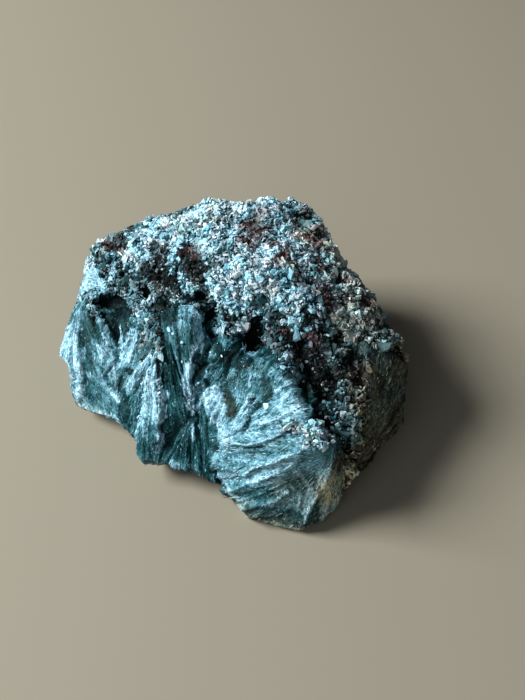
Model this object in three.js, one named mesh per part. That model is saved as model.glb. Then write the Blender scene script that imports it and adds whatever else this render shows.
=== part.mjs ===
// A rough specimen of seraphinite, the feathery green chlorite mineral (clinochlore).
//
// It is one broken chunk of rock. Its walls are feathers: fans of fibres that start at a root near
// the crown and open downwards, with sharp crests where two broken faces meet. A blunt lobe of
// stacked sheets stands out at the front right and steps down in ledges. The top is a granular crust
// of small flakes with open pits. The chunk lies on a flat worn foot.
//
// Millimetres, +Z up. The origin is the middle of the foot, and -Y is the feathered front.

import * as THREE from "three";
import { ConvexHull } from "three/addons/math/ConvexHull.js";
import { mergeVertices } from "three/addons/utils/BufferGeometryUtils.js";

// ---------------------------------------------------------------- Driving dimensions

const HEART = new THREE.Vector3(0, 0, 9); // every corner can be seen from this inner point

const FACET_STEPS = 8; // each facet between three corners is cut into this many strips
const SAME_POINT = 1e-3; // two vertices this close are one
const CORNER_BLUR = 0.5; // softens how the way out turns near a corner

const CRUST_GRAIN = 2.6; // width of one large flake
const CRUST_HEIGHT = 1.1; // how far those flakes stand apart
const CRUST_LUMP = 6; // width of the swells that carry the flakes
const LUMP_HEIGHT = 0.8;
const FEATHER_REACH = 5; // a feather shapes only the rock this close to its own plane
const FEATHER_END = 1.12; // and it fades out past its tip, at this many of its lengths
const END_FADE = 4; // how fast that is
const ROOT_FADE = 0.3; // its relief grows from nothing over this share of its length
const BULGE_SINK = 0.6; // share of a feather's bulge that lies below the plain facet
const BLADE_SEAM = 0.6; // each blade rises over this share of its width, then drops to the next
const BLADE_SINK = 0.35; // share of a blade's step that lies below the plain facet
const SEAM_WIDTH = 0.12; // how sure a feather's claim is where the crust has faded out
const CREST_REACH = 3; // a crest shapes only the rock this far above or below its path

// ---------------------------------------------------------------- Corners of the chunk

// The chunk is broken along flat facets between these corners, in rings from the foot to the top.
const CORNERS = {
  foot: [
    [-17, 0, -0.5], [-7, -9, -0.5], [-2.2, -10.8, -0.5], [2.2, -16.6, -0.5], [8.5, -19, -0.5],
    [12.5, -15, -0.5], [17.5, -4, -0.5], [16.5, 6, -0.5], [9, 14, -0.5], [-3, 15, -0.5],
    [-14, 12.5, -0.5], [0, -2, -2],
  ],
  lip: [
    [-19.3, -2.4, 2], [-14, -5, 3], [-11.8, -8.8, 3.8], [-10.1, -11.9, 3.6], [-6.2, -12.6, 3.7],
    [-2.8, -13.6, 3.6], [-1, -13, 5], [0.3, -14.6, 2.4], [3, -17.8, 1], [8.6, -19.6, 1], [13.2, -16.6, 1],
    [14.3, -12.7, 2], [16.9, -11.8, 1], [19.2, -8.8, 2], [21, -7.6, 5],
  ],
  belly: [
    [-21.7, 2.1, 7], [-20.4, 0, 7], [-16.8, 0.9, 6.5], [-13.4, -1.4, 8], [-9.4, -6.8, 9.5],
    [-5.7, -7.9, 10], [-3.3, -8.3, 9], [-1.3, -14.2, 6], [0, -12.2, 8.7], [4.1, -15.8, 7.5],
    [11.3, -17, 7], [15.5, -13, 6], [17.9, -9.4, 7], [21.4, -5, 8], [21, 3, 8], [18.1, 10.4, 8],
    [12, 18.3, 9], [2, 19.8, 9], [-9, 18.9, 8], [-18, 16.5, 7], [-20, 9.8, 7.2],
  ],
  crown: [
    [-18, 6.6, 13.5], [-18, 15.4, 13.9], [-14.2, 14.7, 15.9], [-10, 15, 18], [-3.9, 15.8, 20],
    [4.1, 15.6, 21], [10.6, 17.1, 19], [12.3, 10.8, 18.5], [14.9, 5.5, 18], [17.6, 2.6, 16.5],
    [20.5, -1.4, 13.5], [13.5, -14, 11], [10.5, -16, 13.5], [-16.4, 6.1, 13.5], [-11.9, 3.7, 15],
    [-7.4, -2.1, 16], [-4.7, 0.5, 18], [-2.9, -2.8, 17], [-2.6, -6.9, 10.5], [2.2, -2.4, 17.4],
    [2.7, -5.6, 16], [6.2, -8.4, 17], [8.1, -12, 15.5],
  ],
  top: [
    [7.5, 10, 21.5], [8.5, -0.3, 20.8], [8.6, -7.4, 18], [1.1, 3.3, 22.4], [-8.1, 6.9, 19.5],
    [0, -0.6, 19.7],
  ],
};

// ---------------------------------------------------------------- Feathers, crust and pits

// A feather's fibres leave its root and open to both sides of the line from root to tip.
// opening: degrees to each side. lift: how far its middle bulges. blades: its flat-faced bundles of
// fibres. step: how far one blade stands above its neighbour.
const FEATHERS = [
  { root: [-18.7, 4.5, 11.4], tip: [-21.2, 0.4, 5], opening: 34, lift: 0.5, blades: 3, step: 0.5 },
  { root: [-17.8, 6.4, 13.4], tip: [-16.7, -3.6, 2.4], opening: 18, lift: 0.6, blades: 3, step: 0.7 },
  { root: [-10.1, 1.6, 15.4], tip: [-13.9, -2.4, 6.5], opening: 15, lift: 1, blades: 3, step: 0.7 },
  { root: [-8.7, -1, 14.8], tip: [-12.9, -4.8, 7], opening: 9, lift: 0.4, blades: 2, step: 0.5 },
  { root: [-8.3, -2.4, 14.5], tip: [-13.2, -8.2, 2.6], opening: 7, lift: 0.7, blades: 2, step: 0.6 },
  { root: [-8, -2.8, 14.6], tip: [-10.2, -12.2, 3], opening: 9, lift: 1.2, blades: 2, step: 0.4 },
  { root: [-7.2, -2.4, 15.6], tip: [-5.4, -9, 8.4], opening: 13, lift: 0.6, blades: 2, step: 0.6 },
  { root: [-4.2, -8.3, 9.1], tip: [-5.2, -13.8, 3], opening: 30, lift: 0.9, blades: 5, step: 0.8 },
  { root: [-4.1, -8.6, 9], tip: [-4.8, -0.8, 16.3], opening: 13, lift: 1.4, blades: 3, step: 0.5 },
  { root: [2.7, -2.4, 15.9], tip: [-2.9, -8, 9.4], opening: 21, lift: 0.8, blades: 4, step: 0.7 },
  { root: [-2.8, -6.1, 11.8], tip: [-2.2, -14.4, 3.6], opening: 8, lift: 0.4, blades: 2, step: 0.4 },
  { root: [-0.7, -12.3, 8.1], tip: [3.4, -6.4, 16], opening: 40, lift: 1.6, blades: 6, step: 0.8 },
  { root: [12.6, -13.6, 12], tip: [1.2, -16.6, 2.4], opening: 40, lift: 0.9, blades: 6, step: 0.8 },
  { root: [13.2, -14.2, 11.4], tip: [11.6, -18.4, 1], opening: 17, lift: 0.8, blades: 3, step: 0.7 },
  { root: [14.3, -13.4, 3], tip: [20.6, -4.2, 11.5], opening: 24, lift: 0.6, blades: 6, step: 0.9 },
  { root: [19.4, 1.5, 14.5], tip: [20.4, 3, 2], opening: 26, lift: 0.8, blades: 6, step: 0.9 },
  { root: [15.5, 9, 16], tip: [17.6, 13, 3], opening: 24, lift: 0.9, blades: 5, step: 0.9 },
  { root: [8.5, 16.5, 17.5], tip: [9, 18, 3], opening: 24, lift: 1, blades: 6, step: 1 },
  { root: [-1.5, 16.5, 18], tip: [-3, 19, 3], opening: 24, lift: 1, blades: 6, step: 1 },
  { root: [-12, 15.6, 14.5], tip: [-13.5, 17.6, 2.5], opening: 26, lift: 0.9, blades: 5, step: 0.9 },
  { root: [-19, 11.5, 13], tip: [-20, 9.5, 2], opening: 24, lift: 0.8, blades: 5, step: 0.8 },
];

// An edge is a crest along a path. fall: how far the rock takes to drop from it to the left of the
// path, seen from outside, and then to its right. A ledge drops far on one side and close on the other.
const EDGES = [
  { height: 0.5, fall: [0.8, 0.8],
    path: [[-19, 8.2, 11.6], [-18.7, 3, 10.4], [-18.8, -0.3, 7.5], [-19, -2.6, 3.4]] },
  { height: 0.9, fall: [0.7, 1.6],
    path: [[-17, 5.3, 12.9], [-15.3, 2.4, 11.1], [-14.2, -0.1, 9.3], [-13.8, -2.2, 7]] },
  { height: 0.5, fall: [0.9, 0.6],
    path: [[-17.5, -3.6, 3.3], [-15.5, -4.6, 3.2], [-13.8, -5.2, 3.3]] },
  { height: 0.5, fall: [1.2, 0.7],
    path: [[-10.4, 2.2, 15], [-12.5, 1.7, 12], [-13.7, 0.2, 10]] },
  { height: 0.6, fall: [0.7, 0.7],
    path: [[-7.7, -1.9, 14.7], [-9.4, -3.5, 12.2], [-11.9, -3.8, 8], [-12.8, -4.7, 6.6]] },
  { height: 0.9, fall: [0.5, 2.2],
    path: [[-7.8, -2.6, 14.3], [-7.8, -5.1, 11.8], [-7.4, -7.3, 9.7], [-7.8, -10.1, 6.6]] },
  { height: 0.6, fall: [0.7, 0.7],
    path: [[-3.6, -3.8, 14.8], [-4.5, -7.1, 11.1], [-4.1, -8.5, 9], [-3.7, -11.3, 6.2]] },
  { height: 0.8, fall: [0.5, 2],
    path: [[-4.9, 0.9, 17.6], [-3.8, -0.2, 17.6], [-3.1, -0.9, 16.4], [-2.8, -3, 15.3]] },
  { height: 0.8, fall: [1.4, 0.6],
    path: [[-2.6, -7.3, 10.5], [-1.6, -9.3, 9.6], [-0.5, -11.6, 9.4], [0.2, -12.2, 8.5]] },
  { height: 1.2, fall: [2.4, 0.5],
    path: [[0, -12.5, 8.4], [2.4, -13.2, 8.9], [5.7, -13.5, 11], [7.3, -13.3, 12.8]] },
  { height: 0.7, fall: [0.9, 0.6],
    path: [[2.9, -9.3, 13.5], [1.9, -10.6, 11.9], [0.9, -12, 10.2]] },
  { height: 0.7, fall: [1.2, 0.6],
    path: [[7, -14.5, 12], [8.9, -15.3, 13], [10.2, -16.3, 13.9], [12.1, -14.4, 12]] },
  { height: 1, fall: [1.9, 0.5],
    path: [[-1, -14.3, 3.3], [1.6, -14.7, 4.9], [4.1, -16.1, 8.8], [8.9, -15.5, 11.9]] },
  { height: 0.9, fall: [1.6, 0.5],
    path: [[-0.2, -14.4, 1], [2.1, -15.4, 4], [4.5, -15.9, 6.4], [7.3, -15.6, 8.4]] },
  { height: 0.8, fall: [1.5, 0.5],
    path: [[2.7, -18.3, 2.1], [4.8, -18, 4.2], [6.8, -17.5, 4.7], [9, -17.3, 6.7]] },
  { height: 0.7, fall: [0.7, 1.6],
    path: [[11.8, -15.1, 12.5], [12.1, -15.2, 10], [10.4, -17.9, 4.8], [9.5, -18.9, 2]] },
];

// A pit is an open hollow along the line from one point to the other.
const PITS = [
  { from: [-4.3, 1.8, 18.7], to: [-2.9, 1.2, 19.2], radius: 1.5, depth: 2.6 },
  { from: [-2.9, 1.2, 19.2], to: [-2, -0.8, 18.6], radius: 1.6, depth: 3.2 },
  { from: [-2, -0.8, 18.6], to: [-2.1, -3.6, 16.8], radius: 1.5, depth: 3 },
  { from: [3.1, -2.4, 17.8], to: [3.2, -4, 17], radius: 1.8, depth: 3 },
  { from: [3.2, -4, 17], to: [2.8, -5, 16.2], radius: 1.6, depth: 2.6 },
  { from: [-15.4, 4.9, 13.8], to: [-13.9, 4.5, 14.1], radius: 1.7, depth: 2.2 },
  { from: [-10, 4, 16.4], to: [-9.4, 3.8, 16.6], radius: 1.3, depth: 2 },
  { from: [-15, 12.7, 15.3], to: [-13.6, 12.7, 15.8], radius: 1.5, depth: 1 },
  { from: [8, 12.9, 20.5], to: [9.4, 12.9, 20.3], radius: 1.7, depth: 1.4 },
  { from: [7.7, -6.3, 18.3], to: [8.9, -10.7, 15.8], radius: 1.5, depth: 1.8 },
  { from: [9.7, -8.3, 16.9], to: [11.6, -10, 14.8], radius: 1.8, depth: 1.8 },
  { from: [0.2, -8.2, 12], to: [1, -9.8, 12], radius: 1.7, depth: 0.8 },
  { from: [13.1, -13.2, 11.6], to: [13.6, -13.8, 11], radius: 1.2, depth: 1.2 },
];
const PIT_FLOOR = 0.25; // share of a pit's radius that is its floor

// ---------------------------------------------------------------- Repeatable chance

// A number from 0 to 1 that depends only on the four whole numbers given.
function chance(a, b, c, seed) {
  let h = Math.imul(a, 374761393) ^ Math.imul(b, 668265263);
  h ^= Math.imul(c, 2147483647) ^ Math.imul(seed, 1274126177);
  h = Math.imul(h ^ (h >>> 13), 1274126177);
  h = Math.imul(h ^ (h >>> 16), 2246822519);
  return ((h ^ (h >>> 15)) >>> 0) / 2 ** 32;
}

const between = (low, x, high) => Math.min(Math.max(x, low), high);

function smoothStep(low, high, x) {
  const t = between(0, (x - low) / (high - low), 1);
  return t * t * (3 - 2 * t);
}

// ---------------------------------------------------------------- Facets between the corners

const corners = Object.values(CORNERS).flat().map((corner) => new THREE.Vector3(...corner));

// The facets join neighbouring corners as seen from the heart: they are the faces of the hull of
// the corners' directions.
function facetsBetween(points) {
  const numberOf = new Map(points.map((point, i) => [point.clone().sub(HEART).normalize(), i]));
  const hull = new ConvexHull().setFromPoints([...numberOf.keys()]);
  return hull.faces.map(({ edge }) => [edge, edge.next, edge.prev].map((e) => numberOf.get(e.head().point)));
}

const facets = facetsBetween(corners);

// The way out of the rock at each corner: the mean of the facets around it, by their size.
const waysOut = corners.map(() => new THREE.Vector3());
for (const facet of facets) {
  const [a, b, c] = facet.map((number) => corners[number]);
  const normal = b.clone().sub(a).cross(c.clone().sub(a));
  facet.forEach((number) => waysOut[number].add(normal));
}
waysOut.forEach((way) => way.normalize());

// The way out at any point, which turns smoothly from corner to corner.
function outward(point) {
  const way = new THREE.Vector3();
  corners.forEach((corner, i) => {
    way.addScaledVector(waysOut[i], 1 / (corner.distanceToSquared(point) + CORNER_BLUR) ** 2);
  });
  return way.normalize();
}

// ---------------------------------------------------------------- Shape of the surface

// A feather with its own axes: along its fibres, across them, and out of the rock.
function withAxes(feather, number) {
  const root = new THREE.Vector3(...feather.root);
  const tip = new THREE.Vector3(...feather.tip);
  const along = tip.clone().sub(root);
  const length = along.length();
  along.normalize();
  const out = outward(root.clone().lerp(tip, 0.5));
  out.addScaledVector(along, -out.dot(along)).normalize();
  const across = out.clone().cross(along);
  const opening = THREE.MathUtils.degToRad(feather.opening);
  return { ...feather, number, root, along, across, out, length, opening };
}

const feathers = FEATHERS.map(withAxes);

// Height of one feather at a point, and how surely the point belongs to it. The middle bulges as a
// half circle does, and each blade is a flat strip with a height, a tilt and an end of its own.
function featherAt(feather, point) {
  const offset = point.clone().sub(feather.root);
  const x = offset.dot(feather.along);
  const y = offset.dot(feather.across);
  const side = Math.atan2(y, x) / feather.opening;
  const run = Math.hypot(x, y) / feather.length;
  const height = Math.abs(offset.dot(feather.out));
  const claim = Math.min(1 - Math.abs(side), (FEATHER_END - run) * END_FADE, 1 - height / FEATHER_REACH);
  if (claim <= 0) return { claim: 0, height: 0 };
  const place = ((side + 1) / 2) * feather.blades;
  const blade = Math.floor(place);
  const part = place - blade;
  const level = (n) => chance(n, feather.number, 1, 11) - 0.5;
  const rise = part * (1 - smoothStep(BLADE_SEAM, 1, part));
  const flat = level(blade) + (level(blade + 1) - level(blade)) * smoothStep(BLADE_SEAM, 1, part);
  const grown = smoothStep(0, ROOT_FADE, run);
  const bulge = feather.lift * (Math.sqrt(1 - side * side) - BULGE_SINK) * grown;
  const steps = feather.step * (flat + rise - BLADE_SINK) * grown;
  return { claim, height: bulge + steps };
}

// The crust's flakes: each cell of the rock around a scattered middle is one flat flake with a
// height and a tilt of its own. The result runs from about -0.5 to 0.5.
function flakeAt(point, width, seed) {
  const cell = point.clone().divideScalar(width);
  const home = cell.clone().floor();
  let nearest = Infinity;
  let height = 0;
  for (let i = -1; i <= 1; i++)
    for (let j = -1; j <= 1; j++)
      for (let k = -1; k <= 1; k++) {
        const key = [home.x + i, home.y + j, home.z + k];
        const roll = (n) => chance(...key, seed + n);
        const middle = new THREE.Vector3(key[0] + roll(0), key[1] + roll(1), key[2] + roll(2));
        const offset = cell.clone().sub(middle);
        if (offset.lengthSq() >= nearest) continue;
        nearest = offset.lengthSq();
        const tilt = new THREE.Vector3(roll(3) - 0.5, roll(4) - 0.5, roll(5) - 0.5);
        height = 0.6 * (roll(6) - 0.5) + offset.dot(tilt);
      }
  return height;
}

const lineBetween = (from, to) => new THREE.Line3(new THREE.Vector3(...from), new THREE.Vector3(...to));

// The step from the nearest point of a line to a point.
function stepFrom(line, point) {
  return point.clone().sub(line.closestPointToPoint(point, true, new THREE.Vector3()));
}

// How deep the pits are at a point.
function pitDepth(point) {
  const depthOf = ({ from, to, radius, depth }) =>
    depth * smoothStep(1, PIT_FLOOR, stepFrom(lineBetween(from, to), point).length() / radius);
  return Math.max(...PITS.map(depthOf));
}

const edges = EDGES.flatMap(({ path, height, fall }) =>
  path.slice(1).map((to, i) => ({ line: lineBetween(path[i], to), height, fall })),
);

// How high the crests stand at a point. Each falls away in a straight slope on either side, and how
// far a point lies from a crest is measured along the rock's face.
function crestHeight(point, out) {
  const heightOf = ({ line, height, fall }) => {
    const step = stepFrom(line, point);
    const above = step.dot(out);
    if (Math.abs(above) > CREST_REACH) return 0;
    const left = out.clone().cross(line.delta(new THREE.Vector3()));
    const away = step.addScaledVector(out, -above);
    return height * (1 - away.length() / (away.dot(left) > 0 ? fall[0] : fall[1]));
  };
  return Math.max(0, ...edges.map(heightOf));
}

// How far the surface stands above the plain facet at a point: feather where one claims the rock,
// flaky crust elsewhere, fading into each other over a narrow seam. The crests stand on both, and
// the pits are cut into both.
function relief(point, out) {
  const crust = CRUST_HEIGHT * flakeAt(point, CRUST_GRAIN, 40) + LUMP_HEIGHT * flakeAt(point, CRUST_LUMP, 80);
  let best = { claim: 0, height: 0 };
  for (const feather of feathers) {
    const found = featherAt(feather, point);
    if (found.claim > best.claim) best = found;
  }
  const share = smoothStep(0, SEAM_WIDTH, best.claim);
  return best.height * share + crust * (1 - share) + crestHeight(point, out) - pitDepth(point);
}

// ---------------------------------------------------------------- Mesh of the chunk

// Where a point of a facet ends up on the finished surface. Nothing reaches below the flat foot.
function carve(point) {
  const out = outward(point);
  const carved = point.clone().addScaledVector(out, relief(point, out));
  carved.z = Math.max(carved.z, 0);
  return carved;
}

// Every facet cut into small triangles, each corner of which is carved.
function chunkGeometry() {
  const positions = [];
  const add = (...points) => points.forEach((point) => positions.push(...carve(point).toArray()));
  for (const facet of facets) {
    const [a, b, c] = facet.map((number) => corners[number]);
    const at = (i, j) =>
      a
        .clone()
        .multiplyScalar(FACET_STEPS - i - j)
        .addScaledVector(b, i)
        .addScaledVector(c, j)
        .divideScalar(FACET_STEPS);
    for (let i = 0; i < FACET_STEPS; i++)
      for (let j = 0; j < FACET_STEPS - i; j++) {
        add(at(i, j), at(i + 1, j), at(i, j + 1));
        if (i + j < FACET_STEPS - 1) add(at(i + 1, j), at(i + 1, j + 1), at(i, j + 1));
      }
  }
  const loose = new THREE.BufferGeometry();
  loose.setAttribute("position", new THREE.Float32BufferAttribute(positions, 3));
  const geometry = mergeVertices(loose, SAME_POINT);
  geometry.computeVertexNormals();
  return geometry;
}

// ---------------------------------------------------------------- The specimen

const chlorite = new THREE.MeshStandardMaterial({ color: 0x55736a, roughness: 0.55, metalness: 0 });
const chunk = new THREE.Mesh(chunkGeometry(), chlorite);
chunk.name = "seraphinite";

// The middle of the foot's box is the origin.
chunk.geometry.computeBoundingBox();
const middle = chunk.geometry.boundingBox.getCenter(new THREE.Vector3());
chunk.position.set(-middle.x, -middle.y, 0);

const specimen = new THREE.Group();
specimen.add(chunk);

export default specimen;
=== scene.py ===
# %% [markdown]
# # A rough chunk of seraphinite
#
# Seraphinite is a chlorite mineral whose fibres grow in feather-like fans. This chunk has fans on
# its walls, a lobe of stacked sheets at the front right, and a crust of small loose-looking flakes
# on top. The solid model already has the chunk's real shape. These cells give it its fine surface:
# first the relief and the colours of a skin, which is a refined copy of the solid, then the
# finishes, then flakes, scales and slivers as meshes of their own, and last the floor, the light
# and the camera.

# %% Open the frame
import itertools
import math

import bpy
import numpy as np
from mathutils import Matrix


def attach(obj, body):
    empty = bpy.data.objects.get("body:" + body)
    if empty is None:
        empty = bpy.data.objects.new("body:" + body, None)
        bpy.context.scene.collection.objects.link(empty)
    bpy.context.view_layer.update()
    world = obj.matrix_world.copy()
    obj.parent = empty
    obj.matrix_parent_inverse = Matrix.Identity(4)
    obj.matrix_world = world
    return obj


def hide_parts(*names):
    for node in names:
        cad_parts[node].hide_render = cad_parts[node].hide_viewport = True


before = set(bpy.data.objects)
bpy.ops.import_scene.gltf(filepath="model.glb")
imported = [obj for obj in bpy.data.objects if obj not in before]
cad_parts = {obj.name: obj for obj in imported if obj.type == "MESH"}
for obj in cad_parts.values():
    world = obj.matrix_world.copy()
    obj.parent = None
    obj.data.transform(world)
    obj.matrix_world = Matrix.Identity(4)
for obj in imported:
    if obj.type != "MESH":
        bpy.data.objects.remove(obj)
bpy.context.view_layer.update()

MM = 0.001
STONE = "seraphinite"
BODY = "root"

# %% [markdown]
# ## Chance and noise on whole arrays
#
# A stone's surface is irregular, but the model has to come out the same on every run. A hash
# turns whole numbers into chance values, and smooth noise and a rubble of flat flakes follow from
# it. Python's random module could do the same, one point at a time, but a hash works on all the
# points at once and needs no stored state.

# %% Chance
HASH_WEIGHTS = (0x9E3779B97F4A7C15, 0xC2B2AE3D27D4EB4F, 0x165667B19E3779F9, 0x27D4EB2F165667C5)
HASH_STIRS = ((33, 0xFF51AFD7ED558CCD), (29, 0xC4CEB9FE1A85EC53))


def chance(*whole):
    """A number from 0 to 1 for each set of whole numbers: their weighted sum, with its bits
    stirred twice and read as a fraction."""
    mixed = np.uint64(0)
    for number, weight in zip(whole, HASH_WEIGHTS):
        mixed = mixed + np.asarray(number).astype(np.int64).astype(np.uint64) * np.uint64(weight)
    for shift, weight in HASH_STIRS:
        mixed = (mixed ^ (mixed >> np.uint64(shift))) * np.uint64(weight)
    return ((mixed ^ (mixed >> np.uint64(32))) >> np.uint64(11)).astype(float) / 2.0**53


def smooth_step(low, high, x):
    """0 below low, 1 above high, and 3t² - 2t³ between them."""
    t = np.clip((x - low) / (high - low), 0, 1)
    return t * t * (3 - 2 * t)


print("chance of 1, 2, 3:", float(chance(np.array([1]), 2, 3)[0]))


# %% Noise and rubble
def noise(points, seed):
    """Smooth noise from -1 to 1: the chance values at the eight whole-number corners around a
    point, blended by the smooth step of the point's place between them."""
    corner = np.floor(points)
    part = points - corner
    part = part * part * (3 - 2 * part)
    total = 0
    for step in itertools.product((0, 1), repeat=3):
        share = np.prod(np.where(step, part, 1 - part), axis=1)
        total = total + share * chance(*(corner + step).T, seed)
    return 2 * total - 1


def nearest_grain(points, width, seed):
    """Which of the scattered grain middles, about width apart, is nearest to each point, as the
    whole numbers of its cell, and where the point lies from that middle, in widths."""
    cell = points / width
    home = np.floor(cell)
    nearest = np.full(len(points), np.inf)
    owner, offset = np.zeros_like(points), np.zeros_like(points)
    for step in itertools.product((-1, 0, 1), repeat=3):
        key = home + step
        away = cell - key - np.stack([chance(*key.T, seed + n) for n in range(3)], axis=1)
        distance = np.sum(away**2, axis=1)
        closer = (distance < nearest)[:, None]
        owner, offset = np.where(closer, key, owner), np.where(closer, away, offset)
        nearest = np.minimum(distance, nearest)
    return owner, offset


def grain_lean(owner, seed):
    """A chance vector for each grain, each part from -0.5 to 0.5."""
    return np.stack([chance(*owner.T, seed + n) for n in range(3, 6)], axis=1) - 0.5


GRAIN_LEVELS = 0.6


def rubble(points, width, seed):
    """Height, from about -0.5 to 0.5, of a heap of flat flakes about width across: the level of
    the nearest grain plus its lean times the distance from its middle."""
    owner, offset = nearest_grain(points, width, seed)
    level = GRAIN_LEVELS * (chance(*owner.T, seed + 6) - 0.5)
    return level + np.sum(offset * grain_lean(owner, seed), axis=1)


# %% [markdown]
# ## Meshes as arrays
#
# Every new piece is worked out as arrays of points and faces. One function puts such arrays into
# a mesh, and another gives points a value that the materials can read. The bmesh module could add
# the faces one at a time, but that is slow for hundreds of thousands of them.

# %% Mesh helpers
def added(name, data):
    """A new object in the scene, at the origin, that holds that mesh, light or camera."""
    made = bpy.data.objects.new(name, data)
    bpy.context.scene.collection.objects.link(made)
    return made


def new_piece(name, points_mm, face_groups, material, smooth):
    """A mesh object from points in millimetres and groups of faces. Each group is an array with
    one row of point numbers for each face."""
    mesh = bpy.data.meshes.new(name)
    sizes = np.concatenate([np.full(len(group), group.shape[1]) for group in face_groups])
    corners = np.concatenate([group.ravel() for group in face_groups])
    mesh.vertices.add(len(points_mm))
    mesh.vertices.foreach_set("co", (points_mm * MM).astype(np.float32).ravel())
    mesh.loops.add(len(corners))
    mesh.loops.foreach_set("vertex_index", corners.astype(np.int32))
    mesh.polygons.add(len(sizes))
    mesh.polygons.foreach_set("loop_start", (np.cumsum(sizes) - sizes).astype(np.int32))
    mesh.update(calc_edges=True)
    mesh.validate()
    mesh.polygons.foreach_set("use_smooth", np.full(len(sizes), smooth))
    mesh.materials.append(material)
    piece = added(name, mesh)
    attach(piece, BODY)
    print(name, "has", len(points_mm), "points and", int(np.sum(sizes - 2)), "triangles")
    return piece


def give(piece, name, kind, values):
    """Each point of the piece gets its value under that name, for the materials to read."""
    member = {"FLOAT": "value", "FLOAT_VECTOR": "vector", "FLOAT_COLOR": "color"}[kind]
    attribute = piece.data.attributes.new(name, kind, "POINT")
    attribute.data.foreach_set(member, np.asarray(values, np.float32).ravel())


def unit(vectors):
    """The same directions at length 1."""
    return vectors / np.maximum(np.linalg.norm(vectors, axis=-1, keepdims=True), 1e-12)


# %% [markdown]
# ## Sockets that do arithmetic
#
# A finish is a formula: a dark colour times a mask, plus a pale colour times what is left. Wiring
# Math nodes by hand hides the formula, so this small class wraps a socket and lets the finishes
# below be written as plain expressions.

# %% Socket arithmetic
class Wire:
    """One output socket in a material. Operators add Math nodes and give the result's Wire."""

    def __init__(self, tree, socket):
        self.tree = tree
        self.socket = socket

    @classmethod
    def node(cls, tree, kind, settings=(), sockets=(), output=0):
        """A node of that kind. Its settings come first, a ramp's stops among them, and then the
        values or wires of its sockets."""
        made = tree.nodes.new(kind)
        for name, value in dict(settings).items():
            if name == "stops":
                while len(made.color_ramp.elements) < len(value):
                    made.color_ramp.elements.new(0.5)
                for element, (place, colour) in zip(made.color_ramp.elements, value):
                    element.position = place
                    element.color = (*colour, 1)
            else:
                setattr(made, name, value)
        for name, value in dict(sockets).items():
            if isinstance(value, Wire):
                tree.links.new(value.socket, made.inputs[name])
            else:
                made.inputs[name].default_value = value
        return cls(tree, made.outputs[output])

    def math(self, operation, first, second):
        """A Math node on two numbers or wires."""
        return Wire.node(self.tree, "ShaderNodeMath", {"operation": operation}, {0: first, 1: second})

    def __add__(self, other):
        return self.math("ADD", self, other)

    __radd__ = __add__

    def __sub__(self, other):
        return self.math("SUBTRACT", self, other)

    def __rsub__(self, other):
        return self.math("SUBTRACT", other, self)

    def __mul__(self, other):
        return self.math("MULTIPLY", self, other)

    __rmul__ = __mul__

    def clipped(self, low, high):
        """The wire's value mapped so that low gives 0 and high gives 1, and kept between them."""
        return Wire.node(
            self.tree, "ShaderNodeMapRange", {"clamp": True},
            {"Value": self, "From Min": low, "From Max": high},
        )


def blend_colours(tree, share, first, second, way="MIX"):
    """The first colour where share is 0, and where it is 1 the two combined in the given way. The
    node's sockets 6 and 7 and its output 2 are the ones for colours."""
    first, second = (c if isinstance(c, Wire) else (*c, 1) for c in (first, second))
    sockets = {0: share, 6: first, 7: second}
    return Wire.node(tree, "ShaderNodeMix", {"data_type": "RGBA", "blend_type": way}, sockets, 2)


def field(tree, name, output):
    """A value that the mesh's points carry, read as a Color, as a Vector or as the number Fac."""
    return Wire.node(tree, "ShaderNodeAttribute", {"attribute_name": name}, {}, output)


def object_place(tree):
    """Where a point lies in the object's own metres."""
    return Wire.node(tree, "ShaderNodeTexCoord", {}, {}, "Object")


NOISE_ROUGHNESS = 0.6


def stretched_noise(tree, place, scale, detail):
    """Noise at a place whose three axes are scaled on their own, so that it can run in streaks."""
    axes = {"Vector": place, "Scale": scale}
    placed = Wire.node(tree, "ShaderNodeMapping", {"vector_type": "POINT"}, axes)
    sockets = {"Vector": placed, "Scale": 1.0, "Detail": detail, "Roughness": NOISE_ROUGHNESS}
    return Wire.node(tree, "ShaderNodeTexNoise", {}, sockets)


def shader_of(tree):
    """The material's own Principled shader."""
    return next(node for node in tree.nodes if node.type == "BSDF_PRINCIPLED")


def new_finish(name, base, roughness, height, bump_mm, bump_strength, specular):
    """A finish from the wires of a base colour, a roughness and a height, which becomes a bump.
    The specular level is the same all over."""
    tree = base.tree
    shader = shader_of(tree)
    tree.links.new(base.socket, shader.inputs["Base Color"])
    tree.links.new(roughness.socket, shader.inputs["Roughness"])
    sockets = {"Height": height, "Distance": bump_mm * MM, "Strength": bump_strength}
    bump = Wire.node(tree, "ShaderNodeBump", {}, sockets)
    tree.links.new(bump.socket, shader.inputs["Normal"])
    shader.inputs["Specular IOR Level"].default_value = specular
    print("finish", name, "has", len(tree.nodes), "nodes")


def new_tree(name):
    """A new material and its node tree."""
    material = bpy.data.materials.new(name)
    material.use_nodes = True
    return material, material.node_tree
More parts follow.
